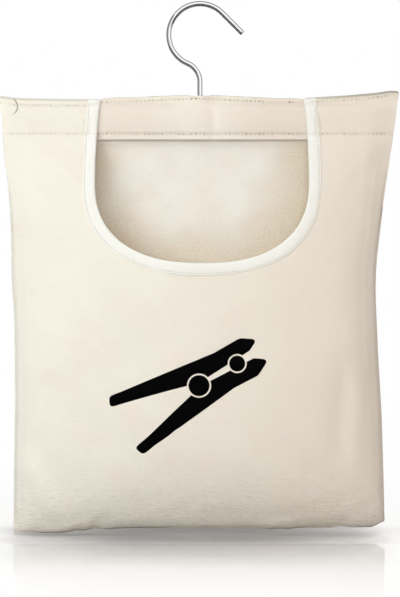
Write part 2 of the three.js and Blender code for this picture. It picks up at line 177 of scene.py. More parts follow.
def seam_share(drop):
    return smooth(drop, HEM_DEPTH, HEM_DEPTH + EDGE_RUN)


def section(share, drop):
    flat = 1 - 0.6 * smooth(np.abs(share), 0.86, 1.0)
    round_ = np.sqrt(np.clip(1 - np.abs(share) ** 4, 0, None))
    return blend(flat, round_, smooth(drop, HEM_DEPTH, HEM_DEPTH + SECTION_RUN))


def closing(drop):
    reach = np.clip((drop - BELLY_DROP) / (BAG_HEIGHT - BELLY_DROP), 0, 1)
    return (1 - reach**4) ** 0.8


# Lengths along the cloth, from the top edge down the middle of a panel


def length_table():
    turn = np.sqrt(np.sin(np.linspace(0, RIGHT_ANGLE, 400)))
    drops = np.concatenate(
        [np.linspace(0, BELLY_DROP, 400), blend(BELLY_DROP, BAG_HEIGHT, turn)[1:]]
    )
    rise = np.sin(np.clip((drops - HEM_DEPTH) / (BELLY_DROP - HEM_DEPTH), 0, 1) * RIGHT_ANGLE)
    depths = back_high.y * rise * closing(drops)
    steps = np.hypot(np.diff(drops), np.diff(depths))
    return drops, np.concatenate([[0], np.cumsum(steps)])


TABLE_DROPS, TABLE_LENGTHS = length_table()
CLOTH_LENGTH = TABLE_LENGTHS[-1]


def length_at(drop):
    return np.interp(drop, TABLE_DROPS, TABLE_LENGTHS)


def drop_at(length):
    return np.interp(length, TABLE_LENGTHS, TABLE_DROPS)


def mouth_half(drop):
    share = np.sin(RIGHT_ANGLE * np.minimum(drop / MOUTH_ROUND, 1))
    return blend(MOUTH_TOP_HALF, MOUTH_HALF, share)


def in_mouth(x, drop):
    across = np.abs(x - MOUTH_OFFSET)
    down = np.clip((drop - MOUTH_ROUND) / (MOUTH_DEPTH - MOUTH_ROUND), 0, None)
    round_part = (across / MOUTH_HALF) ** MOUTH_POWER + down**MOUTH_POWER < 1
    return np.where(drop < MOUTH_ROUND, across < mouth_half(drop), round_part)


def eased(points, reach):
    """A smooth curve through places and values in millimetres."""
    places, values = np.array(points, float).T * MM
    fine = np.arange(places[0] - 2 * reach, places[-1] + 2 * reach, reach / 8)
    spread = np.exp(-np.linspace(-2, 2, 33) ** 2)
    even = np.convolve(np.pad(np.interp(fine, places, values), 16, "edge"), spread / spread.sum(), "valid")
    return lambda place: np.interp(place, fine, even)


# How far the hung bag's edges stand outside the even outline, in millimetres. The sides are given along
# the drop, the top and the bottom across the bag.
LEFT_EDGE = eased(
    ((0, 1), (9, 0.3), (29, 1.5), (46, 3.2), (75, 2.6), (150, 5.6), (182, 3), (253, 1.3), (357, 1.4)), 12 * MM
)
RIGHT_EDGE = eased(
    (
        (0, -0.8), (46, -1.4), (75, -2.6), (104, -3), (140, -5),
        (162, -5.2), (215, -3.4), (266, -1.5), (357, 0),
    ),
    12 * MM,
)
LEFT_SHOULDER = ((-170, 0), (-161, 0), (-155, -1.1), (-148, -1.7), (-116, -2.2), (-84, -2.6))
RIGHT_SHOULDER = (
    (87, -1.4), (98, -0.6), (118, 0.5), (138, 2.2), (148, 3.1), (157, 4.8), (163, 4.6), (170, 3.6),
)
FRONT_TOP = eased((*LEFT_SHOULDER, *RIGHT_SHOULDER), 4 * MM)
BACK_TOP = eased(
    (
        *((x, lift - 0.9) for x, lift in LEFT_SHOULDER),
        (-81, -1.1), (-71, -0.4), (-51, -0.2), (-41, 0.5), (-21, 1.3), (0, 1.8), (12, 1.5), (29, 0.6),
        (48, -0.2), (60, -1), (80, -1.2),
        *((x, lift - 0.9) for x, lift in RIGHT_SHOULDER),
    ),
    3 * MM,
)
BOTTOM_SAG = eased(
    ((-170, -4.2), (-134, -4.5), (-107, -4), (-90, -1.2), (-75, -0.5), (-50, 0), (170, 0)), 6 * MM
)
BOTTOM_EDGE = eased(
    (
        (-110, 0), (-101, 0.8), (-94, -0.7), (-87, 1), (-80, -1), (-71, -0.5), (-60, 0), (46, 0), (52, -0.9),
        (58, -1.9), (65, -0.7), (72, -1.7), (79, -0.2), (111, 0),
        (118, 0.9), (125, 0), (143, 0.6), (153, 6.5),
    ),
    2.5 * MM,
)

# Folds of the front: start and end as x and drop, width and height, in millimetres
FOLDS = (
    ((-97, 357), (-85, 343), 2.2, 1.1),
    ((-128, 356), (-98, 351), 2.6, 0.8),
    ((54, 355), (76, 349), 2.6, 1.0),
    ((112, 357), (124, 346), 2.2, -0.9),
    ((119, 228), (114, 300), 8, -1.8),
    ((-60, 352), (-20, 338), 5, 0.6),
    ((8, 350), (40, 340), 5, -0.5),
    ((-146, 300), (-118, 340), 9, 1.8),
)


class Field:
    """Values on an even grid of rows and columns, read smoothly between them."""

    def __init__(self, grid):
        self.grid = grid

    @staticmethod
    def weights(part):
        square = part * part
        cube = square * part
        return [
            (-cube + 2 * square - part) / 2,
            (3 * cube - 5 * square + 2) / 2,
            (-3 * cube + 4 * square + part) / 2,
            (cube - square) / 2,
        ]

    def at(self, down, across):
        rows, columns = self.grid.shape[:2]
        row = np.clip(down, 0, 1) * (rows - 1)
        column = np.clip(across, 0, 1) * (columns - 1)
        first_row = np.clip(np.floor(row), 0, rows - 2).astype(int)
        first_column = np.clip(np.floor(column), 0, columns - 2).astype(int)
        total = 0
        for i, weight_row in enumerate(self.weights(row - first_row)):
            at_row = np.clip(first_row + i - 1, 0, rows - 1)
            for j, weight_column in enumerate(self.weights(column - first_column)):
                at_column = np.clip(first_column + j - 1, 0, columns - 1)
                total = total + (weight_row * weight_column)[..., None] * self.grid[at_row, at_column]
        return total


class Panel:
    """One side of the bag: its outer face as a function of the share across and the length down."""

    def __init__(self, sign, belly):
        self.sign = sign
        self.belly = belly
        self.drape = Field(np.zeros((2, 2, 3)))

    def hem_face(self, drop):
        if self.sign < 0:
            return channel_half(np.minimum(drop, BAR_DROP)) + FRONT_STACK
        return channel_half(drop) + CANVAS

    def depth(self, drop):
        share = np.clip((drop - HEM_DEPTH) / (BELLY_DROP - HEM_DEPTH), 0, 1)
        pocket = blend(self.hem_face(HEM_DEPTH), self.belly, np.sin(share * RIGHT_ANGLE))
        return np.where(drop <= HEM_DEPTH, self.hem_face(drop), pocket)

    def plain(self, share, length, lift=0.0):
        """Points of the outer face. A lift of the top edge leaves the cloth's way round the bar as it is."""
        drop = drop_at(length)
        edge = blend(self.hem_face(0.0), REST_GAP, seam_share(drop))
        depth = self.depth(np.maximum(drop - lift, 0))
        y = self.sign * blend(edge, depth, section(share, drop) * closing(drop))
        return np.stack([share * half_width(drop), y, TOP_Z - drop + lift], -1)

    def place(self, share, length):
        """Points of the outer face, with the drape, the folds and the bag's own uneven outline."""
        share, length = np.broadcast_arrays(np.asarray(share, float), np.asarray(length, float))
        drop = drop_at(length)
        x = share * half_width(drop)
        top = FRONT_TOP(x) if self.sign < 0 else BACK_TOP(x)
        point = self.plain(share, length, top * (1 - smooth(drop, 0, 26 * MM)))
        point = point + self.drape.at(length / CLOTH_LENGTH, (share + 1) / 2)
        point[..., 0] += np.where(share < 0, -LEFT_EDGE(drop), RIGHT_EDGE(drop)) * np.abs(share) ** 4
        point[..., 2] += BOTTOM_SAG(x) * smooth(drop, 310 * MM, BAG_HEIGHT)
        point[..., 2] += BOTTOM_EDGE(x) * smooth(drop, 343 * MM, BAG_HEIGHT)
        point[..., 1] += self.sign * (self.welt(share, drop) + self.folds(x, drop))
        if self.sign > 0:
            lean = smooth(drop, BAR_DROP, HEM_STITCH) * (1 - smooth(drop, HEM_DEPTH, 80 * MM))
            point[..., 1] -= HEM_LEAN * lean
        return point

    def welt(self, share, drop):
        """The ridge over the allowances that lie inside the side and bottom seams."""
        side = half_width(drop) * (1 - np.abs(share))
        low = BAG_HEIGHT - drop
        ridge = smooth(side, 0.3 * MM, 3 * MM) * (1 - smooth(side, 9.5 * MM, 13 * MM)) * seam_share(drop)
        foot = smooth(low, 0.3 * MM, 3 * MM) * (1 - smooth(low, 8 * MM, 12 * MM))
        across = share * half_width(drop)
        fine_waves = np.sin(across / (2.1 * MM) + 1.7 * np.sin(across / (13 * MM)))
        waves = fine_waves * np.sin(across / (19 * MM) + 1)
        ripples = 0.22 * MM * waves * bump(low, 8 * MM, 6 * MM)
        return 0.3 * MM * np.maximum(ridge, foot * smooth(side, 3 * MM, 14 * MM)) + ripples

    def folds(self, x, drop):
        if self.sign > 0:
            return 0.0 * x
        total = 0.0 * x
        for start, end, width, height in FOLDS:
            start, end = np.array(start) * MM, np.array(end) * MM
            along = end - start
            size = np.hypot(*along)
            run = ((x - start[0]) * along[0] + (drop - start[1]) * along[1]) / size**2
            off = ((x - start[0]) * along[1] - (drop - start[1]) * along[0]) / size
            ends = smooth(run, -0.35, 0.3) * (1 - smooth(run, 0.7, 1.35))
            profile = bump(off, 0, width * MM) - 0.5 * bump(off, 1.9 * width * MM, 1.1 * width * MM)
            total = total + height * MM * ends * profile
        long_waves = np.sin(x / (17 * MM) + 1.5 * np.sin(drop / (31 * MM)))
        waves = long_waves * np.sin(drop / (23 * MM) + np.sin(x / (29 * MM)))
        total = total + 0.7 * MM * waves * smooth(drop, 40 * MM, 110 * MM)
        crumple = np.sin(x / (6.3 * MM) + 2 * np.sin(drop / (9 * MM)))
        crumple = crumple * np.sin(drop / (5.1 * MM) + 1.3 * np.sin(x / (11 * MM)))
        total = total + 0.3 * MM * crumple * smooth(drop, 285 * MM, 340 * MM)
        reach = np.hypot(x + 158.5 * MM, drop - 7.5 * MM)
        pinch = -0.9 * bump(reach, 8.5 * MM, 1.1 * MM) + 0.7 * bump(reach, 10.6 * MM, 1.5 * MM)
        return total + MM * pinch * smooth(x, -159 * MM, -154 * MM) * (1 - smooth(drop, 13 * MM, 18 * MM))

    def normal(self, share, length):
        """Outward normals, from the way the face runs across and down."""
        step = 0.004
        angle = np.arcsin(np.clip(share, -1, 1))
        lower = np.clip(angle - step, -RIGHT_ANGLE, RIGHT_ANGLE)
        upper = np.clip(angle + step, -RIGHT_ANGLE, RIGHT_ANGLE)
        across = self.place(np.sin(upper), length) - self.place(np.sin(lower), length)
        above = np.clip(length - 0.5 * MM, 0, CLOTH_LENGTH)
        below = np.clip(length + 0.5 * MM, 0, CLOTH_LENGTH)
        down = self.place(share, below) - self.place(share, above)
        normal = np.cross(across, down) * -self.sign
        normal /= np.linalg.norm(normal, axis=-1, keepdims=True)
        return normal * np.where(normal[..., 1:2] * self.sign < -0.2, -1, 1)

    def seen(self, x, drop, lift=0.0):
        """Points over the outer face at places given as in the front view."""
        x, drop = np.broadcast_arrays(np.asarray(x, float), np.asarray(drop, float))
        share = np.clip(x / half_width(drop), -1, 1)
        length = length_at(drop)
        return self.place(share, length) + self.normal(share, length) * np.asarray(lift)[..., None]


front = Panel(-1, -front_low.y)
back = Panel(1, back_high.y)


def open_for_stem(points, drop, sign):
    """Opens the back's hem round the hook's stem, with room for the bag to tilt."""
    reach = 1 - smooth(np.abs(points[..., 0]), 2 * MM, 17 * MM)
    near = 1 - smooth(drop, 5 * MM, 11 * MM)
    depth = np.abs(points[..., 1])
    points[..., 1] = sign * blend(depth, np.maximum(depth, 4.4 * MM), reach * near)
    return points


def hem_leaf(x, drop, lift):
    """Points of the back's turned hem, at a lift from its rear face towards the front."""
    x, drop = np.broadcast_arrays(np.asarray(x, float), np.asarray(drop, float))
    share = np.clip(x / half_width(drop), -1, 1)
    points = back.place(share, length_at(drop))
    inner = blend(REST_GAP, channel_half(TOP_Z - points[..., 2]), section(share, drop))
    proud = 0.5 * MM * smooth(drop, 26 * MM, 29.5 * MM) + HEM_LEAN * smooth(drop, BAR_DROP, HEM_STITCH)
    points[..., 1] = -(inner + proud)
    points = open_for_stem(points, drop, -1)
    swell = 0.9 * bump(x, 22 * MM, 9 * MM) - 1.4 * bump(x, 11 * MM, 3.4 * MM) + 0.7 * bump(x, -2 * MM, 9 * MM)
    swell += 0.6 * bump(x, -50 * MM, 22 * MM) - 0.5 * bump(x, -22 * MM, 8 * MM)
    points[..., 1] -= lift + puckers(x, drop) + MM * swell * smooth(drop, TOP_STITCH, 14 * MM)
    return points


def top_row_drop(x):
    """The top row of stitches stands a little lower on the left shoulder."""
    return TOP_STITCH + LEFT_ROW_SHIFT * (1 - smooth(np.asarray(x, float), -96 * MM, -80 * MM))


def puckers(x, drop):
    """Small ripples of the cloth along the two stitched rows of the hem."""
    rows = bump(drop, HEM_STITCH - 4 * MM, 6 * MM) + 0.8 * bump(drop, TOP_STITCH + 3 * MM, 4 * MM)
    waves = np.sin(x / (1.9 * MM) + 2.1 * np.sin(x / (17 * MM))) * (0.6 + 0.4 * np.sin(x / (11 * MM)))
    return 0.1 * MM * rows * waves


def mouth_path():
    """The mouth's edge from the left shoulder round to the right one: x, drop and the way out."""
    angle = np.linspace(0, RIGHT_ANGLE, 500)[1:]
    straight = np.linspace(0.3 * MM, MOUTH_ROUND, 200)
    x = np.concatenate([mouth_half(straight), MOUTH_HALF * np.cos(angle) ** (2 / MOUTH_POWER)])
    curve = blend(MOUTH_ROUND, MOUTH_DEPTH, np.sin(angle) ** (2 / MOUTH_POWER))
    drop = np.concatenate([straight, curve])
    x = np.concatenate([-x, x[-2::-1]])
    drop = np.concatenate([drop, drop[-2::-1]])
    run = np.concatenate([[0], np.cumsum(np.hypot(np.diff(x), np.diff(drop)))])
    even = np.arange(0, run[-1], 1.15 * MM)
    x, drop = np.interp(even, run, x), np.interp(even, run, drop)
    along = np.stack([np.gradient(x), np.gradient(drop)], -1)
    along /= np.linalg.norm(along, axis=1, keepdims=True)
    out = np.stack([-along[:, 1], along[:, 0]], -1)
    straight_part = (drop <= MOUTH_ROUND)[:, None]
    out = np.where(straight_part, np.stack([np.sign(x), np.zeros_like(x)], -1), out)
    return even, x + MOUTH_OFFSET, drop, out


# Meshes


def mesh_object(name, points, faces, uvs=None, smooth_faces=True):
    mesh = bpy.data.meshes.new(name)
    mesh_places = [tuple(point) for point in np.asarray(points, float)]
    mesh.from_pydata(mesh_places, [], [tuple(map(int, face)) for face in faces])
    if uvs is not None:
        layer = mesh.uv_layers.new(name="cloth")
        corners = np.empty(len(mesh.loops), int)
        mesh.loops.foreach_get("vertex_index", corners)
        layer.data.foreach_set("uv", np.asarray(uvs, float)[corners].ravel())
    mesh.polygons.foreach_set("use_smooth", [smooth_faces] * len(mesh.polygons))
    mesh.update()
    piece = bpy.data.objects.new(name, mesh)
    bpy.context.scene.collection.objects.link(piece)
    return piece


def grid_faces(rows, columns, closed=False, keep=None):
    faces = []
    for row in range(rows - 1):
        for column in range(columns if closed else columns - 1):
            if keep is not None and not keep[row, column]:
                continue
            after = (column + 1) % columns
            here, below = row * columns, (row + 1) * columns
            faces.append((here + column, here + after, below + after, below + column))
    return faces


def grid_object(name, points, uvs, keep=None, flip=False):
    rows, columns = points.shape[:2]
    faces = grid_faces(rows, columns, keep=keep)
    if flip:
        faces = [face[::-1] for face in faces]
    used = np.unique(np.array(faces))
    renumber = np.zeros(rows * columns, int)
    renumber[used] = np.arange(len(used))
    faces = renumber[np.array(faces)]
    return mesh_object(name, points.reshape(-1, 3)[used], faces, uvs.reshape(-1, 2)[used])


def apply_modifiers(piece):
    graph = bpy.context.evaluated_depsgraph_get()
    graph.update()
    mesh = bpy.data.meshes.new_from_object(piece.evaluated_get(graph))
    piece.modifiers.clear()
    piece.data = mesh
    return piece


def thicken(piece, thickness):
    sheet = piece.modifiers.new("thickness", "SOLIDIFY")
    sheet.thickness = thickness
    sheet.offset = 0
    sheet.use_even_offset = False
    sheet.use_rim = True
    return apply_modifiers(piece)


def tube(points, radii, sides, up=(0, -1, 0), ends=()):
    """A round body along points, as points, faces and cloth coordinates. Ends are steps past each end,
    as its length and radius in radii of the tube.
    """
    points = np.asarray(points, float)
    radii = np.broadcast_to(np.asarray(radii, float), (len(points),)).copy()
    along = np.gradient(points, axis=0)
    along /= np.linalg.norm(along, axis=1, keepdims=True)
    if ends:
        steps = np.array(ends)
        start = points[0] - along[0] * radii[0] * steps[::-1, :1]
        end = points[-1] + along[-1] * radii[-1] * steps[:, :1]
        points = np.concatenate([start, points, end])
        count = len(steps)
        along = np.concatenate([[along[0]] * count, along, [along[-1]] * count])
        radii = np.concatenate([radii[0] * steps[::-1, 1], radii, radii[-1] * steps[:, 1]])
    across = np.cross(along, np.asarray(up, float))
    across /= np.linalg.norm(across, axis=1, keepdims=True)
    out = np.cross(across, along)
    angles = 2 * math.pi * np.arange(sides) / sides
    ring = across[:, None] * np.cos(angles)[:, None] + out[:, None] * np.sin(angles)[:, None]
    body = points[:, None] + ring * radii[:, None, None]
    faces = grid_faces(len(points), sides, closed=True)
    last = (len(points) - 1) * sides
    faces.append(tuple(range(sides))[::-1])
    faces.append(tuple(range(last, last + sides)))
    run = np.concatenate([[0], np.cumsum(np.linalg.norm(np.diff(points, axis=0), axis=1))])
    uvs = np.stack(np.broadcast_arrays(run[:, None], (angles / (2 * math.pi))[None]), -1).reshape(-1, 2)
    return body.reshape(-1, 3), faces, uvs


class Gather:
    """Several small bodies that become one mesh."""

    def __init__(self):
        self.points = []
        self.faces = []
        self.uvs = []
        self.count = 0

    def add(self, body):
        points, faces, uvs = body
        self.points.append(points)
        self.uvs.append(uvs)
        self.faces.extend(tuple(i + self.count for i in face) for face in faces)
        self.count += len(points)

    def piece(self, name):
        return mesh_object(name, np.concatenate(self.points), self.faces, np.concatenate(self.uvs))


# Materials


class Value:
    """A number socket that takes part in arithmetic and adds its own Math nodes."""

    def __init__(self, nodes, socket):
        self.nodes = nodes
        self.socket = socket

    def _math(self, operation, first, second=None):
        values = {0: first} if second is None else {0: first, 1: second}
        return self.nodes.value("ShaderNodeMath", {"operation": operation}, values)

    def __add__(self, other):
        return self._math("ADD", self, other)

    def __radd__(self, other):
        return self._math("ADD", other, self)

    def __sub__(self, other):
        return self._math("SUBTRACT", self, other)

    def __rsub__(self, other):
        return self._math("SUBTRACT", other, self)

    def __mul__(self, other):
        return self._math("MULTIPLY", self, other)

    def __rmul__(self, other):
        return self._math("MULTIPLY", other, self)

    def __truediv__(self, other):
        return self._math("DIVIDE", self, other)

    def __pow__(self, other):
        return self._math("POWER", self, other)

    def __neg__(self):
        return self._math("MULTIPLY", self, -1)

    def __abs__(self):
        return self._math("ABSOLUTE", self)

    def sine(self):
        return self._math("SINE", self)

    def part(self):
        return self._math("FRACT", self)

    def whole(self):
        return self._math("FLOOR", self)

    def least(self, other):
        return self._math("MINIMUM", self, other)

    def most(self, other):
        return self._math("MAXIMUM", self, other)

    def between(self, low, high):
        """0 below low, 1 above high, eased in between."""
        settings = {"interpolation_type": "SMOOTHSTEP"}
        values = {"Value": self, "From Min": low, "From Max": high}
        return self.nodes.value("ShaderNodeMapRange", settings, values)


class Nodes:
    """A node tree under construction."""

    def __init__(self, tree):
        self.tree = tree
        tree.nodes.clear()

    def add(self, kind, settings=None, values=None):
        node = self.tree.nodes.new(kind)
        for name, setting in (settings or {}).items():
            if name == "stops":
                self.set_stops(node.color_ramp, setting)
            else:
                setattr(node, name, setting)
        for key, value in (values or {}).items():
            socket = node.inputs[key] if isinstance(key, int) else self.find(node, key)
            self.join(socket, value)
        return node

    @staticmethod
    def find(node, key):
        return next(socket for socket in node.inputs if key in (socket.identifier, socket.name))

    @staticmethod
    def set_stops(ramp, stops):
        while len(ramp.elements) < len(stops):
            ramp.elements.new(1)
        for element, (place, colour) in zip(ramp.elements, stops):
            element.position = place
            element.color = (*colour, 1)

    def join(self, socket, value):
        if isinstance(value, Value):
            value = value.socket
        if isinstance(value, bpy.types.NodeSocket):
            self.tree.links.new(value, socket)
        elif isinstance(value, (tuple, list)) and len(value) == 3 and len(socket.default_value) == 4:
            socket.default_value = (*value, 1)
        else:
            socket.default_value = value

    def value(self, kind, settings=None, values=None, output=0):
        return Value(self, self.add(kind, settings, values).outputs[output])

    def noise(self, vector, scale=1.0, detail=2.0, roughness=0.5):
        values = {"Vector": vector, "Scale": scale, "Detail": detail, "Roughness": roughness}
        return self.value("ShaderNodeTexNoise", {"noise_dimensions": "3D"}, values)

    def mix(self, share, first, second):
        settings = {"data_type": "RGBA"}
        values = {"Factor_Float": share, "A_Color": first, "B_Color": second}
        node = self.add("ShaderNodeMix", settings, values)
        return next(socket for socket in node.outputs if socket.identifier == "Result_Color")

    def tint(self, share, colour, shade):
        """A colour mixed towards a shade that is written as it looks on a screen."""
        return self.mix(share, colour, linear(shade))

    def scaled(self, vector, scale):
        return self.add("ShaderNodeVectorMath", {"operation": "MULTIPLY"}, {0: vector, 1: scale}).outputs[0]

    def bump(self, height, distance, strength=1.0):
        values = {"Height": height, "Distance": distance, "Strength": strength}
        return self.add("ShaderNodeBump", None, values).outputs[0]

    def cloth_place(self):
        node = self.add("ShaderNodeUVMap", {"uv_map": "cloth"})
        parts = self.add("ShaderNodeSeparateXYZ", None, {0: node.outputs[0]})
        return node.outputs[0], Value(self, parts.outputs[0]), Value(self, parts.outputs[1])


def linear(colour):
    """A screen colour from 0 to 1 as the light it stands for."""
    return tuple(c / 12.92 if c <= 0.04045 else ((c + 0.055) / 1.055) ** 2.4 for c in colour)


def surface_material(name, build, **constants):
    """A material with one surface shader. build returns the values of its varying sockets."""
    material = bpy.data.materials.new(name)
    material.use_nodes = True
    nodes = Nodes(material.node_tree)
    values = {key.replace("_", " ").title().replace("Ior", "IOR"): value for key, value in constants.items()}
    values.update(build(nodes))
    shader = nodes.add("ShaderNodeBsdfPrincipled", None, values)
    nodes.add("ShaderNodeOutputMaterial", None, {"Surface": shader.outputs[0]})
    return material


def plain_weave(u, v, pitch):
    """Height of a plain weave, from 0 in the holes to 1 on the yarns."""
    warp, weft = u / pitch, v / pitch
    over = (warp.whole() * math.pi + weft * math.pi).sine() * 0.5 + 0.5
    under = 0.5 - (weft.whole() * math.pi + warp * math.pi).sine() * 0.5
    warp_yarn = abs((warp * math.pi).sine()) * over
    weft_yarn = abs((weft * math.pi).sine()) * under
    return warp_yarn.most(weft_yarn)


def needle_holes(nodes, u, v, pitch):
    """Where the needle went through the hems: the pull of the thread, and the small uneven holes, as masks for
    their bumps and their painted shade.
    """
    number = (u / pitch + 0.5).whole()
    stitch_place = nodes.add("ShaderNodeCombineXYZ", None, {0: number * 3.7, 1: v * 90}).outputs[0]
    shift = nodes.noise(stitch_place, detail=1)
    lot = nodes.noise(nodes.add("ShaderNodeCombineXYZ", None, {0: number * 7.3}).outputs[0])
    across = (u / pitch + 0.5 - number - 0.5 + (shift - 0.5) * 0.9) * pitch
    down = abs(v - TOP_STITCH - (1 - u.between(-96 * MM, -80 * MM)) * LEFT_ROW_SHIFT)
    for row in (HEM_STITCH, -TOP_STITCH - 2 * MM, -HEM_STITCH - 2 * MM):
        down = down.least(abs(v - row))
    down = down + (shift - 0.5) * (1.2 * MM)
    far = (across * across * 0.5 + down * down) ** 0.5
    pull = (1 - (down + abs(across) * 0.6).between(0.1 * MM, 2.6 * MM)) * (0.4 + lot * 0.9)
    hole = (1 - far.between(0.2 * MM, 0.9 * MM)) * lot.between(0.42, 0.66)
    return pull, hole


def canvas_material(name, settings, inner=False, sewn=True):
    """Plain-woven cotton with slubs and faint clouds, and painted shade that turns it darker and warmer towards
    the right; sewn pieces get painted shade at the needle holes, along the top fold and in a crease. The inside
    is warmer, most of all round the mouth, where the warmth is painted shade, and has painted light in its
    middle.
    """

    def build(nodes):
        place, u, v = nodes.cloth_place()
        weave = plain_weave(u, v, settings.weave_pitch)
        slubs = nodes.noise(nodes.scaled(place, (150, 1700, 1)), detail=3)
        threads = nodes.noise(nodes.scaled(place, (1300, 90, 1)), detail=2)
        streaks = nodes.noise(nodes.scaled(place, (135, 560, 1)), detail=4, roughness=0.7)
        grain = nodes.noise(nodes.scaled(place, (420, 620, 1)), detail=2, roughness=0.6)
        cloud = nodes.noise(nodes.scaled(place, (17, 14, 1)), detail=3)
        warm = nodes.noise(nodes.scaled(place, (26, 31, 1)), detail=3)
        rough = 0.5 + v.between(0.29, 0.37) * 2.5
        base = linear(settings.canvas_colour)
        # Painted shade: the canvas turns darker and warmer towards the right side.
        colour = nodes.tint(u.between(-0.12, 0.17) * 0.75, base, (0.943, 0.898, 0.85))
        colour = nodes.tint(cloud.between(0.4, 0.68) * 0.5, colour, (0.95, 0.925, 0.885))
        colour = nodes.tint(warm.between(0.5, 0.7) * 0.5, colour, (0.96, 0.912, 0.877))
        if inner:
            # On the inside, the distance from the middle towards the mouth's rim sets painted light in the
            # middle and painted shade near the rim.
            across = abs(u + 2 * MM) / MOUTH_HALF
            down = (v - 40 * MM).most(0) / (MOUTH_DEPTH - 40 * MM)
            below = v.between(36 * MM, 38 * MM)
            reach = across * across * across * (0.45 + v.between(0, 60 * MM) * 0.55) + down * down * down
            reach = reach + (warm - 0.5) * 0.9 + (grain - 0.5) * 0.3
            # Painted light: the inside turns lighter in its middle below the hem.
            colour = nodes.tint((1 - reach.between(0, 0.55)) * below * 0.95, colour, (1, 0.99, 0.962))
            blush = nodes.noise(nodes.scaled(place, (22, 20, 1)), detail=2)
            colour = nodes.tint(blush.between(0.42, 0.62) * below * 0.3, colour, (0.985, 0.93, 0.885))
            # Painted shade: a tan tint round the mouth's rim on the inside.
            colour = nodes.tint(reach.between(0.25, 1.35) * 0.68, colour, (0.95, 0.885, 0.77))
            # Grainy painted shade near the mouth's rim on the inside.
            grainy_rim_shade = reach.between(0.3, 1.0) * grain.between(0.4, 0.7) * 0.34
            colour = nodes.tint(grainy_rim_shade, colour, (0.84, 0.78, 0.66))
            # Painted shade at the ends of the back's hem, beside the tape.
            hem = (1 - v.between(-1 * MM, 1 * MM)) * abs(u - 4 * MM).between(8 * MM, 60 * MM)
            colour = nodes.tint(hem * 0.6, colour, (0.92, 0.87, 0.83))
        streaked = streaks.between(0.48, 0.72) * rough * (0.05 + cloud * 0.4)
        colour = nodes.tint(streaked, colour, (0.86, 0.828, 0.78))
        colour = nodes.tint(slubs.between(0.64, 0.76) * rough * 0.2, colour, (0.81, 0.78, 0.71))
        colour = nodes.tint(grain.between(0.55, 0.75) * (rough - 0.5) * 0.2, colour, (0.8, 0.75, 0.68))
        between_yarns = (1 - weave.between(0.05, 0.55)) * (0.2 if inner else 0.35)
        colour = nodes.tint(between_yarns, colour, (0.8, 0.75, 0.66))
        height = weave * 0.75 + slubs * 0.6 + threads * 0.3 + streaks * rough * 2.4
        if sewn:
            pull, hole = needle_holes(nodes, u, v, settings.stitch_length)
            rim = 1 - abs(v).between(0.9 * MM, 2.3 * MM)
            # Painted shade in a curved crease at the top left corner of the front.
            crease_shade = abs(((u + 158.5 * MM) ** 2 + (v - 7.5 * MM) ** 2) ** 0.5 - 8.5 * MM)
            crease_shade = (1 - crease_shade.between(0.2 * MM, 0.9 * MM)) * u.between(-158 * MM, -152 * MM)
            crease_shade = crease_shade * (1 - v.between(11 * MM, 17 * MM)) * v.between(0, 2 * MM)
            crease_shade = crease_shade * (1 - u.between(-0.15, -0.14))
            faint = 0.45 + u.between(-0.11, 0.0) * 0.55
            # Painted shade along the edge of the top fold, darker towards the right.
            colour = nodes.tint(rim * (0.4 + u.between(0.07, 0.15) * 0.45), colour, (0.66, 0.65, 0.61))
            # Painted shade in the thread's pull round each needle hole and in the holes themselves, fainter on
            # the left.
            colour = nodes.tint(pull * faint * 0.34, colour, (0.85, 0.82, 0.74))
            colour = nodes.tint(hole * faint * 0.7, colour, (0.56, 0.5, 0.41))
            colour = nodes.tint(crease_shade * 0.75, colour, (0.55, 0.53, 0.47))
            height = height - pull * 3 - hole * 4
        return {
            "Base Color": colour,
            "Roughness": 0.86 + streaks * 0.1,
            "Normal": nodes.bump(height, 0.2 * MM, 0.8),
        }

    return surface_material(name, build, specular_ior_level=0.25, sheen_weight=0.08, sheen_roughness=0.5)


def tape_material(settings):
    def build(nodes):
        place, u, v = nodes.cloth_place()
        twill = ((u + v) * (2 * math.pi / (0.62 * MM))).sine() * 0.5 + 0.5
        yarn = abs((v * (math.pi / (0.31 * MM))).sine())
        cloud = nodes.noise(nodes.scaled(place, (60, 60, 1)), detail=2)
        base = linear(settings.tape_colour)
        colour = nodes.tint(cloud.between(0.4, 0.7) * 0.4, base, (0.955, 0.945, 0.915))
        colour = nodes.tint((1 - twill) * 0.14, colour, (0.88, 0.86, 0.81))
        return {
            "Base Color": colour,
            "Roughness": 0.8 + cloud * 0.1,
            "Normal": nodes.bump(twill * 0.7 + yarn * 0.3, 0.08 * MM, 0.7),
        }

    return surface_material("cotton_tape", build, specular_ior_level=0.3, sheen_weight=0.06)


def thread_material(settings, pitch):
    """Two-ply thread, with painted shade where it goes into a needle hole, more at some stitches than at
    others.
    """

    def build(nodes):
        place, u, v = nodes.cloth_place()
        ply = ((u * (1 / (0.9 * MM)) + v * 2) * (2 * math.pi)).sine() * 0.5 + 0.5
        fibre = nodes.noise(nodes.scaled(place, (2500, 14, 1)), detail=2)
        lot = ((v.whole() * 12.9898).sine() * 43758.5453).part()
        end = pitch * 0.86
        hole = 1 - u.least(end - u).between(0.1 * MM, 0.75 * MM)
        colour = nodes.tint((1 - ply) * 0.4, linear(settings.thread_colour), (0.74, 0.68, 0.57))
        # Painted shade where the thread goes down into a needle hole, at some stitches more than at others.
        colour = nodes.tint(hole * (lot - 0.35).most(0) * 1.1, colour, (0.5, 0.44, 0.36))
        return {
            "Base Color": colour,
            "Roughness": 0.6 + fibre * 0.2,
            "Normal": nodes.bump(ply + fibre * 0.4, 0.06 * MM, 0.8),
        }

    return surface_material("sewing_thread", build, specular_ior_level=0.35)


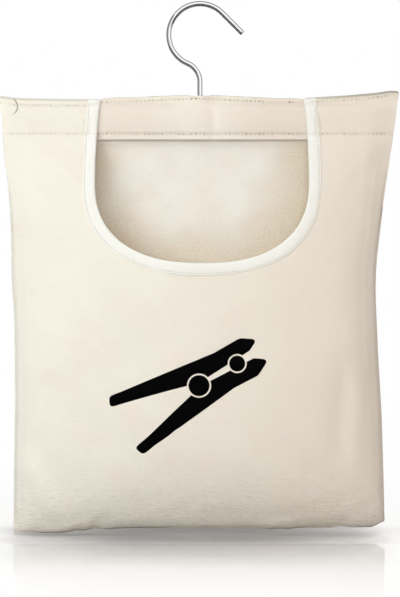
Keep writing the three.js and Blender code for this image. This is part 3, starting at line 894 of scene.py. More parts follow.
def ink_material(settings):
    def build(nodes):
        place, u, v = nodes.cloth_place()
        weave = plain_weave(u, v, settings.weave_pitch)
        wear = nodes.noise(nodes.scaled(place, (900, 900, 1)), detail=3)
        cloud = nodes.noise(nodes.scaled(place, (90, 90, 1)), detail=2)
        colour = nodes.tint(wear.between(0.6, 0.8) * 0.4, linear(settings.ink_colour), (0.05, 0.05, 0.05))
        return {
            "Base Color": colour,
            "Roughness": 0.72 + cloud * 0.15,
            "Normal": nodes.bump(weave * 0.8 + wear * 0.3, 0.08 * MM, 0.8),
        }

    return surface_material("matt_ink", build, specular_ior_level=0.08)


def chrome_material(settings):
    def build(nodes):
        place = nodes.add("ShaderNodeTexCoord").outputs["Object"]
        cloud = nodes.noise(nodes.scaled(place, (140, 140, 90)), detail=3)
        haze = nodes.noise(nodes.scaled(place, (700, 700, 500)), detail=2)
        colour = nodes.tint(cloud.between(0.4, 0.7) * 0.5, linear(settings.chrome_colour), (0.94, 0.94, 0.95))
        return {
            "Base Color": colour,
            "Roughness": 0.05 + cloud * 0.05 + haze.between(0.6, 0.8) * 0.05,
            "Normal": nodes.bump(haze, 0.006 * MM, 0.2),
        }

    return surface_material("polished_wire", build, metallic=1.0)


def wood_material(settings):
    def build(nodes):
        place = nodes.add("ShaderNodeTexCoord").outputs["Object"]
        grain = nodes.noise(nodes.scaled(place, (14, 420, 420)), detail=4, roughness=0.6)
        pores = nodes.noise(nodes.scaled(place, (180, 2600, 2600)), detail=2)
        colour = nodes.tint(grain.between(0.35, 0.7), linear(settings.wood_colour), (0.69, 0.53, 0.35))
        colour = nodes.tint(pores.between(0.6, 0.75) * 0.5, colour, (0.5, 0.36, 0.22))
        return {
            "Base Color": colour,
            "Roughness": 0.5 + grain * 0.2,
            "Normal": nodes.bump(grain * 0.4 + (1 - pores.between(0.6, 0.75)) * 0.6, 0.1 * MM, 0.6),
        }

    return surface_material("beech_wood", build, specular_ior_level=0.4)


# Settings


def length_value(name, description, default):
    return bpy.props.FloatProperty(name=name, description=description, default=default, unit="LENGTH")


def power_value(name, description, default):
    return bpy.props.FloatProperty(name=name, description=description, default=default, unit="POWER")


def colour_value(name, description, default):
    return bpy.props.FloatVectorProperty(
        name=name, description=description, default=default, subtype="COLOR", size=3
    )


class StageSettings(bpy.types.PropertyGroup):
    floor_gap: length_value("Floor gap", "Distance from the bag down to the floor", 0.8 * MM)
    camera_distance: length_value("Camera distance", "Distance from the camera to the bag", 2.0)
    frame_height: length_value("Frame height", "Height of the picture at the bag", 494.3 * MM)
    room_light: bpy.props.FloatProperty(
        name="Room light", description="Brightness of the even light from all around", default=0.5
    )
    key_power: power_value("Key power", "Power of the soft lamp at the upper left", 3.9)
    front_power: power_value("Front power", "Power of the large soft lamp in front", 8.0)
    fill_power: power_value("Fill power", "Power of the warm lamp at the right", 1.0)
    back_power: power_value("Back power", "Power of the soft lamp behind the bag", 6.0)


class CanvasSettings(bpy.types.PropertyGroup):
    canvas_colour: colour_value("Canvas", "Colour of the canvas", (0.962, 0.952, 0.912))
    weave_pitch: length_value("Weave pitch", "Distance between two yarns", 0.55 * MM)
    slack: bpy.props.FloatProperty(
        name="Slack", description="How much larger the cloth is cut than the bag it fills", default=0.02
    )
    flatness: bpy.props.FloatProperty(
        name="Flatness", description="Depth of the cut pieces compared with the hung bag", default=0.35
    )
    pressure: bpy.props.FloatProperty(
        name="Fullness", description="Push of what the bag holds on its inside", default=4.0
    )
    stitch_length: length_value("Stitch length", "Distance between two needle holes", 3.5 * MM)
    ink_colour: colour_value("Ink", "Colour of the print", (0.006, 0.006, 0.007))


class TrimSettings(bpy.types.PropertyGroup):
    tape_colour: colour_value("Tape", "Colour of the tape round the mouth", (0.958, 0.964, 0.951))
    thread_colour: colour_value("Thread", "Colour of the sewing thread", (0.95, 0.93, 0.88))
    thread_diameter: length_value("Thread diameter", "Thickness of the sewing thread", 0.6 * MM)


class HookSettings(bpy.types.PropertyGroup):
    chrome_colour: colour_value("Wire", "Colour of the plated wire", (0.975, 0.978, 0.985))
    wood_colour: colour_value("Wood", "Colour of the bar", (0.84, 0.7, 0.5))
    wire_diameter: length_value("Wire diameter", "Thickness of the hook's wire", 4.4 * MM)
    hook_radius: length_value("Hook radius", "Radius of the hook's round part", 25.8 * MM)
    neck_radius: length_value("Neck radius", "Radius of the neck's bend", 16.5 * MM)
    arm_length: length_value("Arm length", "Length of the hook's straight end", 23.5 * MM)


# Stage


class PEGBAG_OT_stage(bpy.types.Operator):
    """Sets up the camera, the floor and the light"""

    bl_idname = "pegbag.stage"
    bl_label = "Stage"

    def execute(self, context):
        settings = context.scene.pegbag_stage
        self.camera(context.scene, settings)
        floor = self.floor(settings)
        self.world(context.scene, settings)
        self.lamps(settings, floor)
        self.backdrops()
        context.scene.view_settings.view_transform = "Standard"
        return {"FINISHED"}

    def camera(self, scene, settings):
        data = bpy.data.cameras.new("camera")
        data.sensor_fit = "VERTICAL"
        data.sensor_height = 36
        data.lens = 36 * settings.camera_distance / settings.frame_height
        camera = bpy.data.objects.new("camera", data)
        camera.location = (0, -settings.camera_distance, -241.9 * MM)
        camera.rotation_euler = (RIGHT_ANGLE, 0, 0)
        scene.collection.objects.link(camera)
        scene.camera = camera

    def floor(self, settings):
        """A white floor that mirrors the bag faintly in front of it and keeps its shadow, with a painted shadow
        and painted shade near the bag, and a painted dark shade where it is seen in reflections.
        """
        half = 6.0
        z = TOP_Z - BAG_HEIGHT - EAR_DROP - settings.floor_gap
        corners = [(-half, -half, z), (half, -half, z), (half, half, z), (-half, half, z)]
        floor = mesh_object("floor", corners, [(0, 1, 2, 3)], smooth_faces=False)
        material = bpy.data.materials.new("floor")
        material.use_nodes = True
        nodes = Nodes(material.node_tree)
        path = nodes.add("ShaderNodeLightPath")
        seen = Value(nodes, path.outputs["Is Camera Ray"])
        mirrored = Value(nodes, path.outputs["Is Glossy Ray"])
        hidden = nodes.add("ShaderNodeAmbientOcclusion", {"samples": 12}, {"Distance": 0.5}).outputs["AO"]
        occlusion_shade = 1 - Value(nodes, hidden).between(0.4, 0.9)
        place = nodes.add("ShaderNodeTexCoord").outputs["Object"]
        parts = nodes.add("ShaderNodeSeparateXYZ", None, {0: place})
        x, y = Value(nodes, parts.outputs[0]), Value(nodes, parts.outputs[1])
        ahead = abs(y)
        tone = nodes.mix(seen, (0.6, 0.6, 0.59), FLOOR_TONE)
        # Seen in reflections, the floor has a painted dark shade that is darkest near the bag.
        mirror_tone = nodes.mix(ahead.between(0, 1.4), (0.1, 0.1, 0.105), (0.36, 0.36, 0.36))
        tone = nodes.mix(mirrored, tone, mirror_tone)
        # A painted shadow under and in front of the bag: shades listed along y, lighter towards the bag's sides
        # and gone beyond them.
        span = 2 * FLOOR_REACH
        stops = [(at / span + 0.5, (shade, shade, shade)) for at, shade in FLOOR_PAINTED_SHADOW]
        depth = nodes.value("ShaderNodeValToRGB", {"stops": stops}, {"Fac": y / span + 0.5})
        aside = abs(x + 8 * MM)
        under = depth * (1 - aside.between(40 * MM, 150 * MM) * 0.45)
        under = under * (1 - aside.between(130 * MM, 172 * MM))
        # For the camera, painted shade from ambient occlusion and the painted shadow darken the floor near the
        # bag.
        tone = nodes.mix(seen * occlusion_shade * 0.5, tone, (0.3, 0.295, 0.29))
        tone = nodes.mix(seen * under, tone, (0, 0, 0))
        matt = nodes.add("ShaderNodeBsdfDiffuse", None, {"Color": tone})
        mirror = nodes.add("ShaderNodeBsdfGlossy", None, {"Color": (1, 1, 1), "Roughness": 0.09})
        white = nodes.add("ShaderNodeEmission", None, {"Color": (1, 1, 1), "Strength": 1.0})
        near = ahead.between(0.064, 0.076) * (1 - ahead.between(0.065, 0.5))
        share = near * MIRROR_SHARE * seen
        both = nodes.add("ShaderNodeMixShader", None, {0: share, 1: matt.outputs[0], 2: mirror.outputs[0]})
        away = (x * x + y * y).between(WHITE_FROM**2, WHITE_BY**2) * seen
        whole = nodes.add("ShaderNodeMixShader", None, {0: away, 1: both.outputs[0], 2: white.outputs[0]})
        nodes.add("ShaderNodeOutputMaterial", None, {"Surface": whole.outputs[0]})
        floor.data.materials.append(material)
        return floor

    def world(self, scene, settings):
        world = bpy.data.worlds.new("studio")
        scene.world = world
        world.use_nodes = True
        nodes = Nodes(world.node_tree)
        path = nodes.add("ShaderNodeLightPath")
        seen = Value(nodes, path.outputs["Is Camera Ray"])
        mirrored = Value(nodes, path.outputs["Is Glossy Ray"])
        through = Value(nodes, path.outputs["Is Transmission Ray"])
        white = seen.most(mirrored).most(through)
        strength = settings.room_light + white * (1 - settings.room_light)
        colour = nodes.mix(white, ROOM_COLOUR, (1, 1, 1))
        light = nodes.add("ShaderNodeBackground", None, {"Color": colour, "Strength": strength})
        nodes.add("ShaderNodeOutputWorld", None, {"Surface": light.outputs[0]})

    def lamps(self, settings, floor):
        """Soft lamps for the bag. The floor takes its light and its shadow from the room alone."""
        receivers = bpy.data.collections.new("lamp receivers")
        receivers.objects.link(floor)
        receivers.collection_objects[0].light_linking.link_state = "EXCLUDE"
        places = (
            ("key", (-0.6, -0.74, 0.0), 0.6, settings.key_power, (0.95, 1, 0.985)),
            ("front", (0, -1.5, 0.22), 1.0, settings.front_power, (1, 0.968, 0.948)),
            ("fill", (0.9, -0.9, -0.1), 0.8, settings.fill_power, (1, 0.76, 0.56)),
            ("back", (0.2, 1.6, 0.3), 1.0, settings.back_power, (1, 0.98, 0.95)),
        )
        for name, location, size, power, colour in places:
            data = bpy.data.lights.new(name, "AREA")
            data.shape = "DISK"
            data.size = size
            data.energy = power
            data.color = colour
            lamp = bpy.data.objects.new(name, data)
            lamp.location = location
            lamp.rotation_euler = (Vector(LAMP_AIM) - lamp.location).to_track_quat("-Z", "Y").to_euler()
            lamp.visible_camera = False
            lamp.visible_glossy = False
            lamp.light_linking.receiver_collection = receivers
            bpy.context.scene.collection.objects.link(lamp)

    def backdrops(self):
        """Grey backdrops seen only in polished metal. Each has a shade at its near and at its far end."""
        side, low, high = 0.5, -0.16, 0.45
        planes = (
            ((-side, low), (-side, high), (-1.6, 0.62), (0.6, 0.06)),
            ((side, low), (side, high), (-0.32, 0.42), (0.55, 0.34)),
            ((-side, high), (side, high), (-0.12, 0.14), (0.9, 0.16)),
            ((-side, low), (side, low), (0.03, 0.1), (0.9, 0.14)),
        )
        points, shades, faces = [], [], []
        for first, second, near, far in planes:
            start = len(points)
            for y, shade in (near, far):
                for x, z in (first, second):
                    points.append((x, y, z))
                    shades.append((shade, 0))
            faces.append((start, start + 1, start + 3, start + 2))
        backdrops = mesh_object("grey_backdrops", points, faces, shades, smooth_faces=False)
        material = bpy.data.materials.new("grey_backdrop")
        material.use_nodes = True
        nodes = Nodes(material.node_tree)
        place, shade, _ = nodes.cloth_place()
        glow = nodes.add("ShaderNodeEmission", None, {"Color": nodes.mix(shade, (0, 0, 0), (1, 1, 1))})
        nodes.add("ShaderNodeOutputMaterial", None, {"Surface": glow.outputs[0]})
        backdrops.data.materials.append(material)
        for rays in ("camera", "diffuse", "shadow", "transmission"):
            setattr(backdrops, "visible_" + rays, False)


# Hook, washer and bar


def hook_line(settings):
    """Points of the wire's middle line, from the tip to the head under the bar."""
    radius, neck = settings.hook_radius, settings.neck_radius
    centre_z = settings.wire_diameter / 2 - radius
    slope = math.radians(45)
    start = np.array([radius * math.sin(slope), 0, centre_z + radius * math.cos(slope)])
    tip = start + settings.arm_length * np.array([math.cos(slope), 0, -math.sin(slope)])
    join = math.pi + math.acos(neck / (radius + neck))
    neck_z = centre_z + (radius + neck) * math.sin(join)

    def arc(centre_x, middle_z, size, first, last, count):
        angles = np.linspace(first, last, count)[1:]
        return np.stack(
            [centre_x + size * np.cos(angles), np.zeros(count - 1), middle_z + size * np.sin(angles)], -1
        )

    arm = np.linspace(tip, start, 14)
    bow = arc(0, centre_z, radius, RIGHT_ANGLE - slope, join, 96)
    bend = arc(-neck, neck_z, neck, join - math.pi, 0, 28)
    foot = hook_low.z + settings.wire_diameter / 4
    stem = np.linspace((0, 0, neck_z), (0, 0, foot), 30)[1:]
    return np.concatenate([arm, bow, bend, stem])


class PEGBAG_OT_hook(bpy.types.Operator):
    """Makes the wire hook, and gives its washer the same plating"""

    bl_idname = "pegbag.hook"
    bl_label = "Hook"

    def execute(self, context):
        settings = context.scene.pegbag_hook
        line = hook_line(settings)
        radius = settings.wire_diameter / 2
        whole = Gather()
        end_rings = ((0.1, 0.98), (0.22, 0.9), (0.28, 0.78), (0.29, 0.4))
        whole.add(tube(line, self.radii(line, radius), 28, ends=end_rings))
        hook = whole.piece("wire_hook")
        plating = chrome_material(settings)
        hook.data.materials.append(plating)
        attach(hook, "hook")
        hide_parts("hook")
        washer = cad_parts["hook_washer"]
        washer.material_slots[0].material = plating
        return {"FINISHED"}

    def radii(self, line, radius):
        """The wire's radius, which swells to the upset head at the foot and is eased at the cut tip."""
        foot = line[:, 2].min()
        head = 1 - smooth(line[:, 2], foot + 1.2 * MM, foot + 2.0 * MM)
        radii = radius * (1 + 0.6 * head * (line[:, 2] < foot + 3 * MM))
        return radii


class PEGBAG_OT_bar(bpy.types.Operator):
    """Gives the bar in the top hem its wood"""

    bl_idname = "pegbag.bar"
    bl_label = "Bar"

    def execute(self, context):
        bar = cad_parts["bar"]
        bar.material_slots[0].material = wood_material(context.scene.pegbag_hook)
        return {"FINISHED"}


# Panels


def sheet_points(panel, share, length):
    """The middle of the cloth under the outer face."""
    return panel.place(share, length) - panel.normal(share, length) * (CANVAS / 2)


def turn_in(points, panel, inward, drop):
    """Rows past the edge that turn in at the seam, as points beside the edge row."""
    rows = []
    hem = 1 - seam_share(drop)
    for reach, hem_reach in ((0.35, 0.0), (1.1, 0.25), (2.6, 2.2)):
        step = blend(reach, hem_reach, hem)[:, None] * MM
        row = points + inward * step
        row[:, 1] = panel.sign * (CANVAS / 2 + REST_GAP)
        rows.append(row)
    return rows


def mouth_line(count):
    """The mouth's right half from the top edge to the middle of the curve, as x and drop."""
    angle = np.linspace(0, RIGHT_ANGLE, 400)
    x = MOUTH_HALF * np.cos(angle) ** (2 / MOUTH_POWER)
    drop = blend(MOUTH_ROUND, MOUTH_DEPTH, np.sin(angle) ** (2 / MOUTH_POWER))
    run = np.concatenate([[0], np.cumsum(np.hypot(np.diff(x), np.diff(drop)))])
    even = np.linspace(0, run[-1], count)
    return np.interp(even, run, x), np.interp(even, run, drop)


class PEGBAG_OT_cloth(bpy.types.Operator):
    """Drapes the bag and makes its front and back panels"""

    bl_idname = "pegbag.cloth"
    bl_label = "Cloth"

    def execute(self, context):
        self.simulate(context.scene)
        canvas = canvas_material("cotton_canvas", context.scene.pegbag_canvas)
        # The inside's copy of the canvas carries painted light and shade.
        shaded_inside_canvas = canvas_material("cotton_canvas_inside_painted_shade", context.scene.pegbag_canvas, inner=True)
        front_piece = self.front_panel()
        back_piece = self.back_panel()
        for piece, node in ((front_piece, "front_panel"), (back_piece, "back_panel")):
            piece.data.materials.append(canvas)
            piece.data.materials.append(shaded_inside_canvas)
            self.face_inside(piece)
            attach(piece, "bag")
            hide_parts(node)
            flat_area = self.cut_area(node)
        return {"FINISHED"}

    @staticmethod
    def cut_area(node):
        """Flat area of a cut piece: its width at each height, less the mouth's opening on the front."""
        drop = np.linspace(0, BAG_HEIGHT, 2000)
        step = drop[1]
        width = 2 * half_width(drop) + 2 * SEAM_ALLOWANCE
        area = width.sum() * step + (HEM_DEPTH + SEAM_ALLOWANCE) * CUT_WIDTH
        if node == "front_panel":
            x = np.linspace(-TOP_HALF, TOP_HALF, 600)
            area -= in_mouth(x[None], drop[:, None]).mean() * 2 * TOP_HALF * BAG_HEIGHT
            area -= HEM_DEPTH * 2 * MOUTH_TOP_HALF
        return float(area)

    @staticmethod
    def face_inside(piece):
        """Gives the faces that look into the bag, or out of its mouth, the inside's colour with its painted
        light and shade.
        """
        for face in piece.data.polygons:
            inward = -face.normal.y if "back" in piece.name else face.normal.y
            clear = face.center.z < TOP_Z - 1.5 * MM and abs(face.center.x) < 140 * MM
            if inward > 0.3 and clear:
                face.material_index = 1

    def simulate(self, scene):
        """Drapes both panels as one sewn cloth, and keeps how far each point moved."""
        settings = scene.pegbag_canvas
        share = np.linspace(-1, 1, DRAPE_COLUMNS)
        length = np.linspace(0, CLOTH_LENGTH, DRAPE_ROWS)
        across, down = np.meshgrid(share, length)
        drop = drop_at(down)
        x = across * half_width(drop)
        count = DRAPE_ROWS * DRAPE_COLUMNS
        back_index = np.arange(count).reshape(DRAPE_ROWS, DRAPE_COLUMNS)
        sewn = ((np.abs(across) == 1) & (drop >= HEM_DEPTH + EDGE_RUN)) | (down == CLOTH_LENGTH)
        front_index = np.where(sewn, back_index, back_index + count)
        inner = in_mouth(x, drop)
        open_cells = inner[:-1, :-1] & inner[1:, :-1] & inner[:-1, 1:] & inner[1:, 1:]
        both_sides = [panel.plain(across, down).reshape(-1, 3) for panel in (back, front)]
        points = np.concatenate(both_sides)
        faces = []
        for row in range(DRAPE_ROWS - 1):
            for column in range(DRAPE_COLUMNS - 1):
                cell = [(row, column), (row, column + 1), (row + 1, column + 1), (row + 1, column)]
                faces.append([back_index[at] for at in cell])
                if not open_cells[row, column]:
                    faces.append([front_index[at] for at in cell[::-1]])
        faces = np.array(faces)
        used = np.unique(faces)
        renumber = np.full(2 * count, -1)
        renumber[used] = np.arange(len(used))
        cloth = mesh_object("drape", points[used], renumber[faces])
        cloth.shape_key_add(name="hung")
        flat = cloth.shape_key_add(name="flat")
        slack = points[used] * np.array([1 + settings.slack, settings.flatness, 1 + settings.slack])
        flat.data.foreach_set("co", slack.ravel())
        held = np.concatenate([drop.ravel(), drop.ravel()])[used] <= HEM_STITCH
        stiff = np.concatenate([sewn.ravel(), np.zeros(count, bool)])[used]
        upper_side = np.concatenate([(np.abs(across) == 1).ravel()] * 2)[used] & ~stiff
        group = cloth.vertex_groups.new(name="held")
        group.add([int(i) for i in np.nonzero(held | upper_side)[0]], 1.0, "REPLACE")
        group.add([int(i) for i in np.nonzero(stiff & ~held)[0]], 0.35, "REPLACE")
        sheet = cloth.modifiers.new("cloth", "CLOTH")
        fabric = sheet.settings
        fabric.quality = 8
        fabric.mass = 0.02
        fabric.tension_stiffness = fabric.compression_stiffness = 30
        fabric.shear_stiffness = 12
        fabric.bending_stiffness = 0.4
        fabric.tension_damping = fabric.compression_damping = 8
        fabric.air_damping = 3
        fabric.rest_shape_key = flat
        fabric.vertex_group_mass = "held"
        fabric.pin_stiffness = 1.5
        fabric.use_pressure = True
        fabric.uniform_pressure_force = settings.pressure
        sheet.collision_settings.use_collision = False
        sheet.point_cache.frame_start, sheet.point_cache.frame_end = 1, DRAPE_FRAMES
        for number in range(1, DRAPE_FRAMES + 1):
            scene.frame_set(number)
        graph = bpy.context.evaluated_depsgraph_get()
        result = cloth.evaluated_get(graph).to_mesh()
        moved = np.empty(len(used) * 3)
        result.vertices.foreach_get("co", moved)
        scene.frame_set(1)
        bpy.data.objects.remove(cloth)
        shift = np.full((2 * count, 3), np.nan)
        shift[used] = moved.reshape(-1, 3) - points[used]
        for panel, index in ((back, back_index), (front, front_index)):
            panel.drape = Field(self.settled(shift[index], drop))

    @staticmethod
    def settled(shift, drop):
        """Fills the mouth's opening smoothly, and keeps the drape off the hem."""
        empty = np.isnan(shift[..., 0])
        shift = np.where(empty[..., None], 0, shift)
        for _ in range(200):
            padded = np.pad(shift, ((1, 1), (1, 1), (0, 0)), "edge")
            mean = (padded[:-2, 1:-1] + padded[2:, 1:-1] + padded[1:-1, :-2] + padded[1:-1, 2:]) / 4
            shift = np.where(empty[..., None], mean, shift)
        for _ in range(3):
            padded = np.pad(shift, ((1, 1), (1, 1), (0, 0)), "edge")
            mean = (padded[:-2, 1:-1] + padded[2:, 1:-1] + padded[1:-1, :-2] + padded[1:-1, 2:]) / 4
            shift[1:-1, 1:-1] = (shift[1:-1, 1:-1] + mean[1:-1, 1:-1]) / 2
        size = np.linalg.norm(shift, axis=-1, keepdims=True)
        shift *= np.minimum(1, DRAPE_LIMIT / np.maximum(size, 1e-9))
        return shift * smooth(drop, HEM_STITCH, HEM_DEPTH + 6 * MM)[..., None]

    def front_panel(self):
        spokes = []
        rings = 60
        ring = np.arange(rings + 1) / rings
        ring = blend(ring, np.sin(ring * RIGHT_ANGLE) ** 2, 0.35)
        clear = TAPE + LAYER_GAP

        def level(side, drop):
            """A row across one shoulder, from the mouth to the side, as shares and lengths."""
            inner = np.arcsin((MOUTH_OFFSET + side * (mouth_half(drop) + clear)) / half_width(drop))
            angle = blend(inner, side * RIGHT_ANGLE, ring)
            return np.sin(angle), np.full(rings + 1, length_at(drop))

        def outer(side, share, length):
            points = sheet_points(front, share, length)
            drop = drop_at(length)
            edge = points[-1:]
            inward = np.array([[-side, 0.0, 0.0]])
            extra = turn_in(edge, front, inward, drop[-1:])
            return np.concatenate([points, *extra])

        def add(points, share, length):
            drop = drop_at(length)
            u = share * half_width(drop)
            pad = len(points) - len(u)
            u = np.concatenate([u, np.full(pad, u[-1]) + np.sign(u[-1]) * np.arange(1, pad + 1) * MM])
            v = np.concatenate([length, np.full(pad, length[-1])])
            spokes.append((points, np.stack([u, v], -1)))

        def shoulder(side):
            drops = np.concatenate([[0.8 * MM], np.linspace(2.3 * MM, MOUTH_ROUND, 46)])
            rows = []
            leaf_drops = np.linspace(HEM_DEPTH, 1.5 * MM, 13)
            spacing = CANVAS + LAYER_GAP
            for drop in leaf_drops:
                share, length = level(side, drop)
                points = outer(side, share, length)
                points[:, 1] += spacing
                points[:, 0] -= side * 3.4 * MM * np.linspace(0, 1, len(points)) ** 6
                rows.append((points, share, 2 * TOP_STITCH - length))
            top_share, top_length = level(side, 0.8 * MM)
            top = outer(side, top_share, top_length)
            for step in (1, 2, 3):
                turn = math.pi * (1 - step / 4)
                points = top.copy()
                points[:, 1] += spacing / 2 * (1 - math.cos(turn))
                points[:, 2] += 0.8 * MM * math.sin(turn)
                points[:, 0] -= side * 3.4 * MM * (1 - step / 4) * np.linspace(0, 1, len(points)) ** 6
                rows.append((points, top_share, top_length))
            for drop in drops:
                share, length = level(side, drop)
                rows.append((outer(side, share, length), share, length))
            return rows

        half_count = 136
        side_count = 88
        mouth_x, mouth_drop = mouth_line(half_count + 1)
        left, right = [], []
        side_length = np.linspace(length_at(MOUTH_ROUND), CLOTH_LENGTH, side_count + 1)
        for index in range(1, half_count + 1):
            for side, rows in ((-1, left), (1, right)):
                if side > 0 and index == half_count:
                    continue
                tangent_x = mouth_x[min(index + 1, half_count)] - mouth_x[index - 1]
                tangent_d = mouth_drop[min(index + 1, half_count)] - mouth_drop[index - 1]
                if index == half_count:
                    tangent_x, tangent_d = -1.0, 0.0
                size = math.hypot(tangent_x, tangent_d)
                out_x, out_d = tangent_d / size, -tangent_x / size
                x = MOUTH_OFFSET + side * (mouth_x[index] + out_x * clear)
                drop = mouth_drop[index] + out_d * clear
                inner_angle = np.arcsin(x / half_width(drop))
                inner_length = length_at(drop)
                if index <= side_count:
                    end_angle, end_length = side * RIGHT_ANGLE, side_length[index]
                else:
                    share = (index - side_count) / (half_count - side_count)
                    end_angle, end_length = side * RIGHT_ANGLE * (1 - share), CLOTH_LENGTH
                angle = blend(inner_angle, end_angle, ring)
                length = blend(inner_length, end_length, ring)
                share = np.sin(angle)
                points = sheet_points(front, share, length)
                edge_drop = drop_at(end_length)
                sideways = -np.sign(share[-1]) if index <= side_count else 0
                inward = np.array([[sideways, 0, 0 if index < side_count else 1.0]])
                inward = inward / np.linalg.norm(inward)
                extra = turn_in(points[-1:], front, inward, np.array([edge_drop]))
                rows.append((np.concatenate([points, *extra]), share, length))
        for points, share, length in [*shoulder(-1), *left, *right[::-1], *shoulder(1)[::-1]]:
            add(points, share, length)
        grid = np.stack([points for points, _ in spokes])
        uvs = np.stack([uv for _, uv in spokes])
        return thicken(grid_object("canvas_front", grid, uvs), CANVAS)

    def back_panel(self):
        columns = np.linspace(-RIGHT_ANGLE, RIGHT_ANGLE, 181)
        slit = 7.5 * MM
        share = np.sin(columns)
        lengths = np.concatenate(
            [
                np.linspace(CLOTH_LENGTH, length_at(HEM_DEPTH), 90),
                np.linspace(length_at(HEM_DEPTH), 0.8 * MM, 22)[1:],
            ]
        )
        rows = []

        def widen(points, drop, sides_in):
            first, last = points[:1], points[-1:]
            drop = np.array([drop])
            left = turn_in(first, back, np.array([[1.0, 0, 0]]), drop)
            right = turn_in(last, back, np.array([[-1.0, 0, 0]]), drop)
            whole = np.concatenate([*left[::-1], points, *right])
            whole[:, 0] -= np.sign(whole[:, 0]) * sides_in * (np.abs(whole[:, 0]) / TOP_HALF) ** 6
            return whole

        pad = 3

        def flat(length, drop):
            u = share * half_width(drop)
            u = np.concatenate([u[:1] - np.arange(pad, 0, -1) * MM, u, u[-1:] + np.arange(1, pad + 1) * MM])
            return np.stack([u, np.full(len(u), length)], -1)

        bottom = sheet_points(back, share, np.full(len(share), CLOTH_LENGTH))
        bottom = widen(bottom, BAG_HEIGHT, 0.0)
        for row in turn_in(bottom, back, np.array([[0, 0, 1.0]]), np.full(len(bottom), BAG_HEIGHT))[::-1]:
            rows.append((row, flat(CLOTH_LENGTH + 2 * MM, BAG_HEIGHT)))
        for length in lengths:
            drop = float(drop_at(length))
            points = widen(sheet_points(back, share, np.full(len(share), length)), drop, 0.0)
            if drop < 12 * MM:
                points = open_for_stem(points, drop, 1)
            rows.append((points, flat(length, drop)))
        top = rows[-1][0]
        fold_start = len(rows) - 1
        for step in (1, 2, 3):
            turn = math.pi * step / 4
            points = top.copy()
            points[:, 1] = top[:, 1] * math.cos(turn)
            points[:, 2] += FOLD_RADIUS * math.sin(turn)
            end_share = (np.abs(points[:, 0]) / TOP_HALF) ** 6
            points[:, 0] -= np.sign(points[:, 0]) * 3.4 * MM * step / 4 * end_share
            rows.append((points, flat(-step * 0.4 * MM, 0.0)))
        fold_end = len(rows)
        leaf_above = np.linspace(0.8 * MM, HEM_STITCH, 20)
        leaf_below = np.linspace(HEM_STITCH, HEM_DEPTH, 5)[1:]
        leaf_drops = np.concatenate([leaf_above, leaf_below])
        for drop in leaf_drops:
            x = share * half_width(drop)
            points = widen_leaf(hem_leaf(x, np.full(len(share), drop), CANVAS / 2))
            rows.append((points, flat(-float(length_at(drop)) - 2 * MM, drop)))
        last = rows[-1][0]
        for step in (1, 2, 3, 4):
            turn = math.pi * step / 4
            points = last.copy()
            points[:, 1] += 0.43 * MM * (1 - math.cos(turn))
            points[:, 2] -= 0.43 * MM * math.sin(turn)
            rows.append((points, flat(-HEM_DEPTH - 2 * MM - step * 0.3 * MM, HEM_DEPTH)))
        for rise in (2, 4, 6):
            points = rows[-1][0].copy()
            points[:, 2] += 2 * MM
            rows.append((points, flat(-HEM_DEPTH - 4 * MM - rise * MM, HEM_DEPTH)))
        grid = np.stack([points for points, _ in rows])
        uvs = np.stack([uv for _, uv in rows])
        keep = np.ones((grid.shape[0] - 1, grid.shape[1] - 1), bool)
        middle = np.abs((grid[:-1, :-1, 0] + grid[1:, 1:, 0]) / 2) < slit
        keep[fold_start:fold_end] &= ~middle[fold_start:fold_end]
        return thicken(grid_object("canvas_back", grid, uvs, keep=keep), CANVAS)


def widen_leaf(points):
    """The leaf inside the side seams: pulled in, with the same columns as the panel."""
    pad = 3
    left = [points[0] - np.array([0.4 * MM * step, 0, 0]) for step in range(pad, 0, -1)]
    right = [points[-1] + np.array([0.4 * MM * step, 0, 0]) for step in range(1, pad + 1)]
    whole = np.concatenate([left, points, right])
    whole[:, 0] -= np.sign(whole[:, 0]) * 4.6 * MM * (np.abs(whole[:, 0]) / TOP_HALF) ** 6
    return whole


